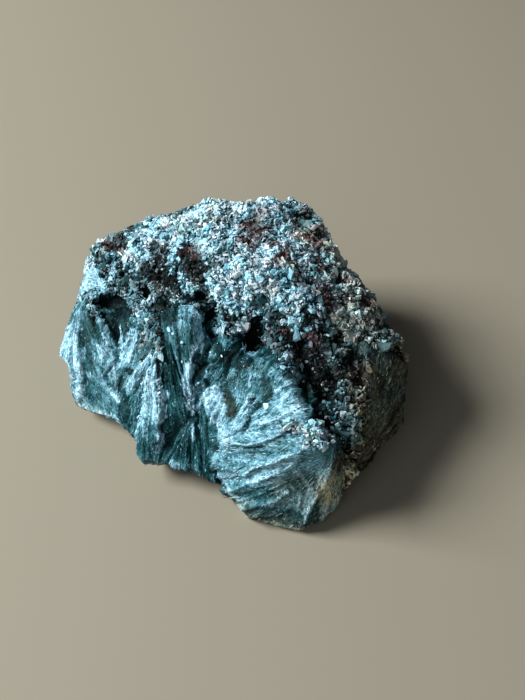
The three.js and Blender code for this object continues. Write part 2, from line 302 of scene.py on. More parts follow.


# %% [markdown]
# ## The colours of chlorite
#
# Fresh fibre faces are a pale silvery blue-green. Deeper bundles are dark teal, almost black. Iron
# has stained parts of the crust a dull purple-brown, and a few patches are olive. Wearing takes the
# green from the rock and leaves a warm grey, and the same warm grey is painted as warm light bounced
# from the floor onto the shaded right side and round the foot. Each point could carry a colour
# picked for it, but then nothing would hold the colours together. One tone value runs instead from
# 0, the darkest green, to 1, the palest, and past it to the near-white of a painted glint. The tone
# also carries painted light and shade. The warm grey and the two stains mix over it.

# %% Colours
TONE_STOPS = np.array([0.0, 0.3, 0.55, 0.8, 1.0, 1.3])
TONE_COLOURS = np.array([
    [0.0004, 0.0040, 0.0045],
    [0.0030, 0.0360, 0.0420],
    [0.0460, 0.1550, 0.1850],
    [0.1950, 0.3980, 0.5000],
    [0.4250, 0.6850, 0.8250],
    [0.6800, 0.8800, 0.9700],
])
RUST = np.array([0.0700, 0.0450, 0.0470])
OLIVE = np.array([0.0200, 0.0420, 0.0340])
STAIN_BRIGHTNESS = (0.09, 1.5)
STAIN_PALEST = 0.9
# warm tint of wearing, also used for painted warm light bounced from the floor
WEAR_AND_BOUNCE_TINT = np.array([1.12, 1.02, 0.66])
# how bright red, green and blue each look
BRIGHTNESS = np.array([0.21, 0.72, 0.07])


def chlorite_colour(tone, rust, olive, wear_and_bounce):
    """The green of that tone, which wearing and painted warm bounce light turn to a grey of the same
    brightness, with the stains mixed over it. A stain is lighter on pale rock."""
    green = np.stack([np.interp(tone, TONE_STOPS, channel) for channel in TONE_COLOURS.T], axis=1)
    grey = (green @ BRIGHTNESS)[:, None] * WEAR_AND_BOUNCE_TINT
    green = green + (grey - green) * np.clip(wear_and_bounce, 0, 1)[:, None]
    base, gain = STAIN_BRIGHTNESS
    brightness = base + gain * np.clip(tone, 0, 1)[:, None]
    for stain, share in ((RUST, rust), (OLIVE, olive)):
        share = np.clip(share, 0, 1)[:, None]
        green = green * (1 - share) + np.clip(stain * brightness, 0, STAIN_PALEST) * share
    return np.concatenate([green, np.ones((len(tone), 1))], axis=1)


print("middle tone:", chlorite_colour(np.array([0.5]), *np.zeros((3, 1)))[0].round(3))

# %% [markdown]
# ## The skin
#
# The solid has about ten thousand flat facets, some 0.9 mm across. The skin starts as a copy of it
# with the loose triangles joined, and each triangle cut into sixteen. A Subdivision Surface modifier
# would do this too, but it cuts each triangle into quads and passes the piece's limit of 200,000
# triangles at its second level. The points then ease towards their neighbours, which rounds the
# facets' edges away and leaves the chunk's forms.

# %% Skin tools
JOIN_GRID_MM = 1e-4


def joined(points, triangles):
    """Points that share a place become one, and the triangles are renumbered."""
    key = np.round(points / JOIN_GRID_MM).astype(np.int64)
    _, first, number = np.unique(key, axis=0, return_index=True, return_inverse=True)
    return points[first], number.reshape(-1)[triangles]


def refined(points, triangles, steps):
    """Each triangle ABC cut into steps² small ones: the grid point (i, j) with i + j no more than
    steps is ((steps - i - j) A + i B + j C) / steps."""
    grid = np.array([(i, j) for i in range(steps + 1) for j in range(steps + 1 - i)])
    number = {(i, j): n for n, (i, j) in enumerate(grid.tolist())}
    share = np.stack([steps - grid.sum(axis=1), grid[:, 0], grid[:, 1]], axis=1) / steps
    upright = [(i, j) for i, j in number if i + j < steps]
    turned = [(i, j) for i, j in number if i + j < steps - 1]
    small = [(number[i, j], number[i + 1, j], number[i, j + 1]) for i, j in upright]
    small += [(number[i + 1, j], number[i + 1, j + 1], number[i, j + 1]) for i, j in turned]
    cut = np.einsum("gk,tkc->tgc", share, points[triangles]).reshape(-1, 3)
    offset = np.arange(len(triangles))[:, None, None] * len(grid)
    return joined(cut, (np.array(small)[None] + offset).reshape(-1, 3))


def edges_of(triangles):
    """Each edge once, as two point numbers."""
    sides = np.concatenate([triangles[:, [0, 1]], triangles[:, [1, 2]], triangles[:, [2, 0]]])
    return np.unique(np.sort(sides, axis=1), axis=0)


def neighbour_mean(values, edges, count):
    """For each point the mean of its neighbours' values."""
    ends = np.concatenate([edges, edges[:, ::-1]])
    number = np.bincount(ends[:, 0], minlength=count)
    columns = values.reshape(count, -1).T
    total = [np.bincount(ends[:, 0], column[ends[:, 1]], minlength=count) for column in columns]
    return (np.array(total) / number).T.reshape(values.shape)


def eased(values, edges, rounds, share):
    """Each value moves by that share of the way to its neighbours' mean, in each round."""
    for _ in range(rounds):
        values = values + share * (neighbour_mean(values, edges, len(values)) - values)
    return values


def ways_out(points, triangles):
    """The unit normal at each point: the summed cross products of the triangles around it."""
    a, b, c = (points[triangles[:, k]] for k in range(3))
    facing = np.cross(b - a, c - a)
    corners = triangles.ravel()
    total = [np.bincount(corners, np.repeat(part, 3), minlength=len(points)) for part in facing.T]
    return unit(np.array(total).T)


# %% The skin's plain shape
SKIN_STEPS = 4
FACET_EASE_ROUNDS = 2
FACET_EASE_SHARE = 0.35
FINE_EASE_ROUNDS = 8
FINE_EASE_SHARE = 0.5

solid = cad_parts[STONE].data
solid_points = np.empty(len(solid.vertices) * 3)
solid.vertices.foreach_get("co", solid_points)
solid.calc_loop_triangles()
solid_triangles = np.empty(len(solid.loop_triangles) * 3, np.int32)
solid.loop_triangles.foreach_get("vertices", solid_triangles)
body_points, body_triangles = joined(solid_points.reshape(-1, 3) / MM, solid_triangles.reshape(-1, 3))
body_points = eased(body_points, edges_of(body_triangles), FACET_EASE_ROUNDS, FACET_EASE_SHARE)
skin_points, skin_triangles = refined(body_points, body_triangles, SKIN_STEPS)
skin_edges = edges_of(skin_triangles)
skin_points = eased(skin_points, skin_edges, FINE_EASE_ROUNDS, FINE_EASE_SHARE)
skin_out = ways_out(skin_points, skin_triangles)
print("skin:", len(skin_points), "points,", len(skin_triangles), "triangles")

# %% [markdown]
# ## The feathers
#
# Each feather is a fan of fibres with a root and a tip, and it opens by the same angle to both
# sides. Its place on the skin is given in its own two numbers: side, from -1 to 1 across the fan,
# and run, from 0 at the root to 1 at the tip. The feather whose fan covers a point most surely
# claims it, and where none does there is crust. Fans could be modelled one by one and joined, but a
# claim on the skin leaves no joint to hide. The numbers are in millimetres, as the solid's are.

# %% Feathers
# root, tip, half opening in degrees, tone at the root and at the tip, and blades across; the tones
# are partly each fan's own green and partly painted sheen on fans that face the lamp
FEATHERS = [
    ((-18.7, 4.5, 11.4), (-21.2, 0.4, 5.0), 34, 0.84, 0.94, 3),
    ((-18.3, 7.8, 12.6), (-20.5, 4.5, 6.0), 26, 0.62, 0.68, 3),
    ((-15.0, 6.7, 14.0), (-18.2, 9.9, 12.6), 18, 1.00, 1.00, 3),
    ((-17.8, 6.4, 13.4), (-16.7, -3.6, 2.4), 18, 0.46, 0.60, 3),
    ((-13.3, 5.6, 13.4), (-13.3, 0.8, 11.0), 38, 0.26, 0.36, 3),
    ((-10.1, 1.6, 15.4), (-13.9, -2.4, 6.5), 15, 0.72, 0.66, 3),
    ((-8.7, -1.0, 14.8), (-12.9, -4.8, 7.0), 9, 0.55, 0.62, 2),
    ((-8.3, -2.4, 14.5), (-13.2, -8.2, 2.6), 7, 0.62, 0.40, 2),
    ((-8.0, -2.8, 14.6), (-10.2, -12.2, 3.0), 9, 0.84, 0.86, 2),
    ((-7.2, -2.4, 15.6), (-5.4, -9.0, 8.4), 13, 0.28, 0.40, 2),
    ((-4.2, -8.3, 9.1), (-5.2, -13.8, 3.0), 30, 0.40, 0.38, 5),
    ((-4.1, -8.6, 9.0), (-4.8, -0.8, 16.3), 13, 0.42, 0.66, 3),
    ((2.7, -2.4, 15.9), (-2.9, -8.0, 9.4), 21, 0.34, 0.48, 4),
    ((-2.8, -6.1, 11.8), (-2.2, -14.4, 3.6), 8, 0.42, 0.36, 2),
    ((-0.7, -12.3, 8.1), (3.4, -6.4, 16.0), 40, 0.74, 0.62, 6),
    ((12.6, -13.6, 12.0), (1.2, -16.6, 2.4), 40, 0.66, 0.74, 4),
    ((13.2, -14.2, 11.4), (11.6, -18.4, 1.0), 17, 0.46, 0.44, 3),
    ((14.0, -13.8, 4.5), (21.0, -4.4, 9.6), 25, 0.46, 0.50, 6),
    ((13.8, -14.0, 3.0), (20.8, -8.4, 3.0), 26, 0.40, 0.44, 5),
    ((19.4, 1.5, 14.5), (20.4, 3.0, 2.0), 26, 0.46, 0.52, 6),
    ((15.5, 9.0, 16.0), (17.6, 13.0, 3.0), 24, 0.52, 0.60, 5),
    ((8.5, 16.5, 17.5), (9.0, 18.0, 3.0), 24, 0.46, 0.64, 6),
    ((-1.5, 16.5, 18.0), (-3.0, 19.0, 3.0), 24, 0.66, 0.54, 6),
    ((-12.0, 15.6, 14.5), (-13.5, 17.6, 2.5), 26, 0.50, 0.70, 5),
    ((-19.0, 11.5, 13.0), (-20.0, 9.5, 2.0), 24, 0.64, 0.74, 5),
]
FEATHER_REACH_MM = 5
FEATHER_MIDDLE_MM = 4
FEATHER_LENGTH = 1.12
FEATHER_END_FALL = 4


def nearby(points, place, radius):
    """1 at the place, falling smoothly to 0 at the radius."""
    return smooth_step(radius, 0, np.linalg.norm(points - np.array(place), axis=1))


def feather_axes(root, tip, points, out):
    """The fan's own axes: along its fibres, across them, and out of the rock at its middle."""
    root, tip = np.array(root), np.array(tip)
    along = unit(tip - root)
    outward = np.sum(out * nearby(points, (root + tip) / 2, FEATHER_MIDDLE_MM)[:, None], axis=0)
    outward = unit(outward - along * np.dot(outward, along))
    return along, np.cross(outward, along), outward


def feather_places(points, out):
    """For each point: the claim of its surest feather, that of the next one, which feather it is,
    and the point's side and run in it. A claim is the least of three: how far the point lies inside
    the fan's two sides, inside its end, and within its reach out of the rock."""
    claims, sides, runs = [], [], []
    for root, tip, opening, *_ in FEATHERS:
        along, across, outward = feather_axes(root, tip, points, out)
        offset = points - np.array(root)
        x, y = offset @ along, offset @ across
        side = np.arctan2(y, x) / math.radians(opening)
        run = np.hypot(x, y) / math.dist(root, tip)
        height = np.abs(offset @ outward)
        end = (FEATHER_LENGTH - run) * FEATHER_END_FALL
        claims.append(np.minimum.reduce([1 - np.abs(side), end, 1 - height / FEATHER_REACH_MM]))
        sides.append(side)
        runs.append(run)
    claims = np.array(claims)
    order = np.argsort(claims, axis=0)
    which, each = order[-1], np.arange(len(points))

    def pick(rows, rank):
        """Each point's own value among one row of values for each feather."""
        return np.array(rows)[rank, each]

    return pick(claims, which), pick(claims, order[-2]), which, pick(sides, which), pick(runs, which)


FEATHER_EDGE = -0.30
FEATHER_EDGE_SOFT = 0.08
BROAD_RIM = 0.16
FINE_RIM = 0.14

claim, next_claim, feather, side, run = feather_places(skin_points, skin_out)
rim = BROAD_RIM * noise(skin_points * 0.9, 21) + FINE_RIM * noise(skin_points * 2.3, 22)
covered = smooth_step(FEATHER_EDGE, FEATHER_EDGE + FEATHER_EDGE_SOFT, claim + rim)
print("feathers cover", round(float(covered.mean()), 2), "of the skin")

# %% [markdown]
# ## Fine relief
#
# A feather is built of blades, and a blade of planks that overlap like shingles, with their ends
# broken to points. Fibres run down all of them, and they barely show where a sheet broke flat. The
# crust is a rubble of tilted flakes at three sizes, with a few low round lumps and with pits that
# have ragged rims. A Displace modifier could read a texture for this, but a texture knows nothing
# of a feather's own directions. So all of it is one height, worked out here, that moves each point
# along its way out.

# %% Relief of the feathers
BLADE_STEP_MM = 0.30
SPLINTER_STEP_MM = 0.12
SPLINTERS_PER_BLADE = 4
STRIP_WANDER = 0.4
STRIP_SLOPE = 0.9
FALLING_STRIPS = 0.4
PLANKS_ALONG = 2.2
PLANK_SHIFTS = 3
PLANK_POINT = 0.8
PLANK_RISE_MM = 0.24
PLANK_MIDDLE = 0.4
WHOLE_PLANKS = (0.45, 0.6)
ROOT_FADE = 0.3
FIBRES_ACROSS = 30
FIBRES_ALONG = 5
FIBRE_MM = 0.06
LUMP_MM = 0.06

lengths = np.array([math.dist(root, tip) for root, tip, *_ in FEATHERS])
openings = np.radians([row[2] for row in FEATHERS])
blades = np.array([row[5] for row in FEATHERS])


def fan_noise(across, along, layer, seed):
    """Noise over a feather's own two directions. Each feather has a layer of it to itself."""
    return noise(np.stack([across, along, layer], axis=1), seed)


def strips(feather, side, run, count, seed):
    """The fan cut into count strips of uneven width. Gives each point's strip, its place across
    the strip from -0.5 to 0.5, and the strip's height: a level of its own and a slope either way."""
    across = (side + 1) / 2 * count
    across = across + STRIP_WANDER * fan_noise(side * 3, run * 2, feather * 5.0, seed)
    strip = np.floor(across)
    part = across - strip - 0.5
    rises = chance(strip, feather, seed + 1) > FALLING_STRIPS
    slope = part * np.where(rises, STRIP_SLOPE, -STRIP_SLOPE)
    return strip, part, chance(strip, feather, seed + 2) - 0.5 + slope


def feather_relief(points, feather, side, run):
    """Broad blades, narrow splinters on them, planks that rise along each splinter and drop at
    its pointed end, fibres that are noise stretched along the run, and over them all low lumps,
    which are noise at 1.3 and 0.6 mm. A plank rises with the square of its length."""
    splinters = blades[feather] * SPLINTERS_PER_BLADE
    _, _, blade_height = strips(feather, side, run, blades[feather], 31)
    splinter, part, splinter_height = strips(feather, side, run, splinters, 41)
    start = chance(splinter, feather, 34) * PLANK_SHIFTS
    along = run * PLANKS_ALONG + start + PLANK_POINT * np.abs(part)
    plank = np.floor(along)
    broken = smooth_step(*WHOLE_PLANKS, chance(splinter, plank, feather, 35))
    rise = ((along - plank) ** 2 - PLANK_MIDDLE) * broken
    angle = side * openings[feather]
    fibres = fan_noise(angle * FIBRES_ACROSS, run * FIBRES_ALONG, feather * 3.0, 36)
    lumps = noise(points / 1.3, 37) + 0.5 * noise(points / 0.6, 38)
    heights = BLADE_STEP_MM * blade_height + SPLINTER_STEP_MM * splinter_height
    heights = smooth_step(0, ROOT_FADE, run) * (heights + PLANK_RISE_MM * rise)
    return heights + FIBRE_MM * fibres + LUMP_MM * lumps


print(len(FEATHERS), "feathers of", int(blades.sum()), "blades")

# %% Sheets that broke flat
# from, to and radius
FLATS = [
    ((10.2, -16.8, 8.6), (7.6, -19.0, 2.2), 2.6),
    ((11.8, -16.6, 9.0), (10.6, -18.4, 3.0), 1.6),
    ((0.6, -9.0, 11.4), (1.4, -8.4, 12.8), 1.2),
]
# shares of the radius at which a rim begins and is whole
FLAT_RIM = (1.25, 0.7)
FLAT_RAGGED = 0.4
FLAT_CALM = 0.7
GROOVE_MM = 0.40
GROOVE_WIDTH = 0.12


def from_line(points, start, end):
    """Each point's step from the nearest place on the line between two places."""
    start, line = np.array(start), np.array(end) - np.array(start)
    share = np.clip((points - start) @ line / (line @ line), 0, 1)
    return points - start - share[:, None] * line


def line_distance(points, start, end):
    """Each point's distance from the line between two places."""
    return np.linalg.norm(from_line(points, start, end), axis=1)


def flatness(points):
    """How surely a point lies where a sheet broke flat, so that its fibres barely show: the
    smooth step of its distance in radii, which noise makes ragged."""
    ragged = FLAT_RAGGED * noise(points * 0.9, 98)
    away = [line_distance(points, start, end) / radius for start, end, radius in FLATS]
    return smooth_step(*FLAT_RIM, np.min(away, axis=0) + ragged)


flat = flatness(skin_points)
groove = -GROOVE_MM * smooth_step(GROOVE_WIDTH, 0, claim - np.maximum(next_claim, FEATHER_EDGE))
feather_height = feather_relief(skin_points, feather, side, run) * (1 - FLAT_CALM * flat) + groove
print("feather relief, mm:", feather_height.min().round(2), "to", feather_height.max().round(2))

# %% Relief of the crust and the pits
# width of the flakes, height of the rubble and seed
CRUST_SIZES_MM = ((2.6, 0.75, 51), (1.3, 0.60, 61), (0.6, 0.25, 71))
CRUST_STAND_MM = -0.15
PIT_RIM = (1.1, 0.45)
PIT_BROAD_RIM = 0.35
PIT_FINE_RIM = 0.30

# path along the floor, radius and extra depth
PITS = [
    (((-3.4, 2.9, 17.0), (-2.5, 2.6, 16.4), (-2.0, 0.8, 16.0), (-1.9, -0.8, 15.8)), 0.9, 1.3),
    (((3.0, -3.3, 15.5), (3.5, -1.8, 15.3), (4.2, -1.0, 16.8)), 1.1, 1.2),
    (((-15.9, 5.7, 13.0), (-13.9, 5.7, 12.8)), 1.0, 0.8),
    (((-10.6, 5.0, 15.8), (-9.4, 4.8, 15.4)), 0.8, 1.2),
    (((8.4, -5.5, 17.8), (9.1, -6.9, 16.8), (9.8, -7.7, 15.7)), 0.9, 1.0),
    (((9.1, -9.0, 15.1), (10.2, -9.2, 14.7), (11.6, -9.3, 13.7)), 1.1, 1.2),
    (((10.6, -12.1, 14.5), (12.0, -12.8, 12.8)), 0.9, 0.8),
    (((11.8, -7.2, 16.2), (13.0, -8.0, 14.9)), 0.6, 0.6),
    (((8.8, 13.9, 20.1), (10.0, 14.2, 19.5)), 1.1, 0.5),
    (((-9.0, 6.5, 18.9), (-8.0, 5.5, 18.6)), 0.6, 0.6),
    (((-14.0, 10.4, 15.0), (-13.0, 8.0, 15.1)), 0.6, 0.6),
    (((-14.3, 2.9, 12.5), (-13.5, 1.2, 11.2)), 0.5, 0.6),
]


def pit_relief(points):
    """How deep the pits are, and how surely a point is inside one. Noise makes their rims ragged."""
    ragged = PIT_BROAD_RIM * noise(points * 1.1, 75) + PIT_FINE_RIM * noise(points * 2.6, 76)
    depth, inside = np.zeros(len(points)), np.zeros(len(points))
    for path, radius, deep in PITS:
        lines = zip(path[:-1], path[1:])
        away = np.min([line_distance(points, *line) for line in lines], axis=0)
        share = smooth_step(*PIT_RIM, away / radius + ragged)
        depth = np.maximum(depth, deep * share)
        inside = np.maximum(inside, share)
    return depth, inside


# middle, radius and height
LUMPS = [
    ((5.4, 3.4, 21.1), 3.2, 0.8),
    ((5.8, 6.0, 21.2), 2.6, 0.5),
    ((2.6, -0.9, 18.6), 2.4, 0.7),
    ((10.9, -1.5, 19.3), 2.8, 0.6),
]


def lump_relief(points):
    """Low round lumps, which rise smoothly to their height at the middle."""
    return sum(height * nearby(points, middle, radius) for middle, radius, height in LUMPS)


crust_rubble = sum(
    height * rubble(skin_points, width, seed) for width, height, seed in CRUST_SIZES_MM
)
pit_depth, in_pit = pit_relief(skin_points)
print("crust relief, mm:", crust_rubble.min().round(2), "to", crust_rubble.max().round(2))

# %% [markdown]
# ## Crests, ledges and seams
#
# Two broken faces meet in a crest, a stacked sheet ends in a ledge, and bundles part at a seam.
# Each follows a path over the rock. It could be a strip of mesh laid on the skin, but a strip shows
# where it ends, so the skin itself rises or sinks along the path. A crest also gets a painted
# highlight, a pale line, and painted shade darkens the rock under a ledge, in a seam and on a crest's
# shaded side.

# %% Crests and seams
# path; height in mm, below 0 for a seam; fall in mm to the left of the path, seen from outside, and
# to its right; tone shift to the left and right, which is a painted highlight above 0 and painted
# shade below 0
CRESTS = [
    (((-18.1, 5.7, 13.1), (-19.1, 3.3, 10.7), (-18.9, 1.4, 9.0), (-18.4, -1.2, 6.1),
      (-19.1, -2.5, 2.9)), 0.20, (0.4, 0.35), (0.30, 0.10)),
    (((-17.8, 5.1, 12.8), (-18.2, 2.9, 10.6), (-18.2, 0.7, 8.4), (-17.9, -1.1, 6.1)),
     -0.20, (0.4, 0.3), (-0.18, 0.10)),
    (((-16.9, 5.0, 13.3), (-15.8, 2.6, 11.9), (-14.9, 1.0, 10.6), (-14.2, -0.7, 9.5),
      (-13.7, -2.6, 8.0), (-13.7, -3.9, 5.6)), 0.24, (0.25, 0.45), (0.20, 0.50)),
    (((-16.2, 5.1, 12.6), (-14.8, 2.7, 12.0), (-13.8, 0.8, 10.9), (-13.4, -1.1, 9.2)),
     -0.45, (0.5, 0.3), (-0.30, -0.30)),
    (((-19.0, -2.5, 2.7), (-17.3, -3.7, 2.8), (-15.5, -4.9, 3.3), (-13.7, -5.5, 3.9)),
     0.25, (0.5, 0.4), (0.35, 0.30)),
    (((-11.7, 2.0, 13.9), (-13.1, 1.0, 11.3), (-13.7, -0.2, 10.2)),
     0.20, (0.5, 0.25), (0.25, -0.10)),
    (((-10.5, 1.3, 14.7), (-10.8, -0.2, 12.7), (-11.9, -1.6, 9.9)),
     0.20, (0.3, 0.8), (-0.15, 0.25)),
    (((-7.7, -2.3, 14.9), (-8.7, -3.3, 13.8), (-10.0, -3.6, 11.9), (-11.8, -4.0, 9.0),
      (-12.6, -3.9, 7.7)), 0.28, (0.3, 0.4), (0.40, 0.40)),
    (((-8.3, -4.6, 13.6), (-10.1, -4.4, 10.3), (-11.7, -5.0, 7.5)),
     -0.40, (0.5, 0.5), (-0.30, -0.30)),
    (((-8.2, -4.5, 13.5), (-9.4, -5.4, 12.0), (-10.8, -5.5, 8.4), (-11.5, -7.2, 5.6)),
     0.20, (0.8, 0.3), (0.20, -0.30)),
    (((-7.7, -3.2, 14.5), (-7.7, -4.9, 12.5), (-7.4, -7.0, 10.8), (-7.7, -9.1, 8.3),
      (-8.1, -10.6, 6.4)), 0.40, (0.25, 1.3), (-0.10, 0.30)),
    (((-3.0, -3.3, 15.7), (-3.8, -4.3, 15.1), (-4.2, -5.2, 14.2), (-4.5, -6.7, 12.0),
      (-3.9, -7.9, 10.2), (-4.1, -8.9, 9.0)), 0.24, (0.25, 0.25), (0.55, 0.55)),
    (((-4.0, -9.8, 8.2), (-3.9, -11.0, 6.9)), 0.25, (0.3, 0.3), (0.50, 0.40)),
    (((-5.3, 0.8, 17.9), (-4.2, 0.5, 17.8), (-3.2, -0.8, 17.8), (-2.9, -1.6, 16.6),
      (-2.8, -2.6, 15.6), (-3.0, -4.1, 14.8)), 0.35, (0.3, 0.8), (0.25, 0.35)),
    (((-1.3, -3.2, 15.1), (-2.2, -5.3, 13.0), (-2.8, -6.4, 11.5)), 0.20, (0.4, 0.4), (0.20, 0.15)),
    (((-2.6, -7.1, 11.2), (-2.2, -8.9, 10.8), (-1.5, -10.3, 10.1), (-0.6, -12.2, 9.6),
      (0.2, -13.4, 9.7)), 0.28, (0.7, 0.3), (0.15, 0.15)),
    (((-2.4, -6.8, 11.5), (-0.6, -7.0, 12.5), (1.1, -6.8, 14.5), (2.9, -5.1, 15.2)),
     0.20, (0.3, 0.5), (-0.10, 0.25)),
    (((2.9, -9.5, 13.9), (2.0, -10.2, 12.3), (1.2, -11.0, 11.1), (0.7, -11.7, 10.5)),
     0.22, (0.6, 0.25), (0.15, 0.15)),
    (((3.0, -10.3, 13.4), (2.8, -11.3, 12.3), (2.3, -11.8, 11.1)), 0.14, (0.2, 0.4), (0.20, 0.00)),
    (((3.1, -9.7, 13.5), (2.8, -11.4, 11.9), (2.0, -12.5, 10.5)),
     -0.60, (0.35, 0.35), (-0.35, -0.35)),
    (((2.7, -8.7, 14.4), (2.9, -7.9, 15.2), (3.8, -8.0, 15.7), (4.1, -8.9, 15.1)),
     0.25, (0.4, 0.4), (0.20, 0.20)),
    (((1.8, -12.5, 10.4), (4.0, -12.6, 12.1), (7.1, -12.7, 14.5)),
     0.30, (0.8, 0.25), (0.30, -0.10)),
    (((0.2, -13.4, 9.7), (2.5, -14.3, 10.6), (4.5, -14.4, 11.6), (6.3, -14.1, 12.7),
      (7.4, -13.1, 13.6)), 0.40, (0.8, 0.2), (0.25, -0.15)),
    (((2.2, -14.5, 10.2), (4.2, -14.8, 11.2)), -0.45, (0.3, 0.5), (-0.20, -0.10)),
    (((7.4, -14.7, 12.4), (9.5, -16.2, 13.9), (10.8, -16.3, 13.7), (12.0, -15.1, 12.5)),
     0.30, (0.6, 0.3), (0.10, 0.00)),
    (((-0.9, -14.6, 4.3), (1.0, -15.4, 6.0), (4.0, -16.4, 9.4), (6.2, -16.5, 11.2),
      (8.3, -16.4, 12.6)), 0.30, (0.8, 0.25), (0.30, -0.20)),
    (((0.0, -15.9, 3.3), (2.4, -16.5, 6.0), (4.9, -16.9, 8.1), (7.4, -16.6, 10.1)),
     0.26, (0.7, 0.25), (0.25, 0.00)),
    (((0.7, -16.0, 0.9), (3.0, -16.8, 4.0), (5.1, -17.1, 5.9), (6.9, -16.7, 7.3)),
     0.24, (0.6, 0.25), (0.18, -0.20)),
    (((1.9, -17.4, 1.8), (4.0, -18.1, 3.8), (6.3, -17.9, 5.3), (7.2, -17.6, 6.2)),
     0.28, (0.6, 0.25), (0.10, -0.35)),
    (((3.0, -18.3, 1.7), (5.3, -18.3, 2.1), (7.4, -18.3, 3.8)), 0.25, (0.6, 0.25), (0.10, -0.20)),
    (((12.0, -15.5, 12.5), (11.8, -16.7, 9.8), (11.1, -17.6, 6.2), (10.2, -18.1, 5.3),
      (9.3, -19.0, 3.6), (9.2, -19.7, 2.1)), 0.20, (0.3, 0.5), (0.00, 0.35)),
    (((7.4, -16.6, 10.5), (9.0, -16.9, 7.6), (10.7, -18.0, 5.5)), 0.12, (0.3, 0.3), (0.25, 0.15)),
    (((5.4, -16.6, 9.0), (8.6, -17.6, 5.9), (8.4, -18.6, 4.0)), 0.12, (0.3, 0.3), (-0.10, 0.20)),
]
CREST_REACH_MM = 2.5
# distances from the path at which its painted light and shade begins and is whole
CREST_LINE_MM = (0.26, 0.1)
CREST_RAGGED_MM = 0.08


def from_path(points, out, path):
    """Each point's distance from the path, measured along the rock's face. It is above 0 to the
    left of the path, seen from outside, and below 0 to its right."""
    nearest, signed = np.full(len(points), np.inf), np.full(len(points), np.inf)
    for start, end in zip(path[:-1], path[1:]):
        step = from_line(points, start, end)
        above = np.sum(step * out, axis=1)
        flat = step - above[:, None] * out
        away = np.where(np.abs(above) < CREST_REACH_MM, np.linalg.norm(flat, axis=1), np.inf)
        left = np.sum(flat * np.cross(out, np.subtract(end, start)), axis=1) > 0
        closer = away < nearest
        signed = np.where(closer, np.where(left, away, -away), signed)
        nearest = np.minimum(away, nearest)
    return signed


def crest_relief(points, out):
    """A crest stands its height at the path and falls away in a straight slope to each side. Gives
    the highest crest plus the deepest seam, and the summed tones of painted light and shade, which
    fade out beside the path."""
    ragged = CREST_RAGGED_MM * (noise(points * 2.2, 77) + 0.5 * noise(points * 5.0, 78))
    lift, sink, tone = np.zeros((3, len(points)))
    for path, height, falls, tones in CRESTS:
        signed = from_path(points, out, path) + ragged
        near, far = np.where(signed > 0, falls[0], falls[1]), np.abs(signed)
        stand = height * np.clip(1 - far / near, 0, 1)
        lift, sink = np.maximum(lift, stand), np.minimum(sink, stand)
        tone = tone + np.where(signed > 0, tones[0], tones[1]) * smooth_step(*CREST_LINE_MM, far)
    return lift + sink, tone


crest_height, crest_light_and_shade = crest_relief(skin_points, skin_out)
crust_height = CRUST_STAND_MM + crust_rubble + lump_relief(skin_points)
height = feather_height * covered + crust_height * (1 - covered) + crest_height - pit_depth
skin_points = skin_points + skin_out * height[:, None]
skin_points[:, 2] = np.maximum(skin_points[:, 2], 0)
skin_out = ways_out(skin_points, skin_triangles)
print("skin now spans, mm:", (skin_points.max(axis=0) - skin_points.min(axis=0)).round(2))

# %% [markdown]
# ## Where the rock is pale, dark or stained
#
# The tone drifts over the chunk. A zone is a soft ball that shifts the tone of the rock inside it,
# or stains it. A patch is a line with a radius, and inside it the rock has one tone. These tones are
# partly the rock's own and partly painted light and shade: the palest patches lift slopes turned
# away from the lamp, and the darkest are painted shade in pits and cracks. Painting on the points
# by hand would do the same, but rows of numbers can be read and changed. The skin, the flakes and the
# scales all take their colour from the same values, so that they read as one rock.

# %% Zones and patches
# place, radius, tone shift, rust, olive
ZONES = [
    ((-4.0, 9.6, 20.6), 3.0, 0.14, 0.0, 0.0),
    ((0.6, 12.6, 21.2), 3.0, 0.12, 0.0, 0.0),
    ((3.6, 1.4, 21.0), 3.5, 0.18, 0.0, 0.0),
    ((-12.4, 5.6, 15.0), 5.0, -0.32, 0.0, 0.1),
    ((-8.6, 3.8, 17.0), 5.5, -0.38, 0.1, 0.1),
    ((4.6, 13.6, 21.4), 2.2, 0.00, 0.70, 0.0),
    ((11.6, 1.6, 19.6), 2.8, -0.06, 0.70, 0.0),
    ((9.4, -2.8, 18.8), 2.0, 0.10, 0.0, 0.0),
    ((9.4, 13.5, 20.0), 1.8, -0.50, 0.0, 1.0),
    ((14.6, 7.2, 17.6), 5.0, 0.18, 0.30, 0.0),
    ((5.3, -5.1, 17.3), 2.6, -0.46, 0.1, 0.0),
    ((10.1, -5.8, 17.5), 3.0, -0.45, 0.3, 0.0),
    ((1.6, -5.9, 15.6), 1.4, -0.30, 0.0, 0.0),
    ((11.0, -13.4, 13.4), 1.8, -0.26, 0.0, 0.0),
    # the next two zones darken the shaded right side and warm it with rust: partly stain and partly
    # painted shade and warm bounce light
    ((15.6, -6.2, 14.4), 4.0, -0.16, 0.55, 0.0),
    ((18.6, 0.8, 14.6), 4.0, -0.12, 0.50, 0.0),
]
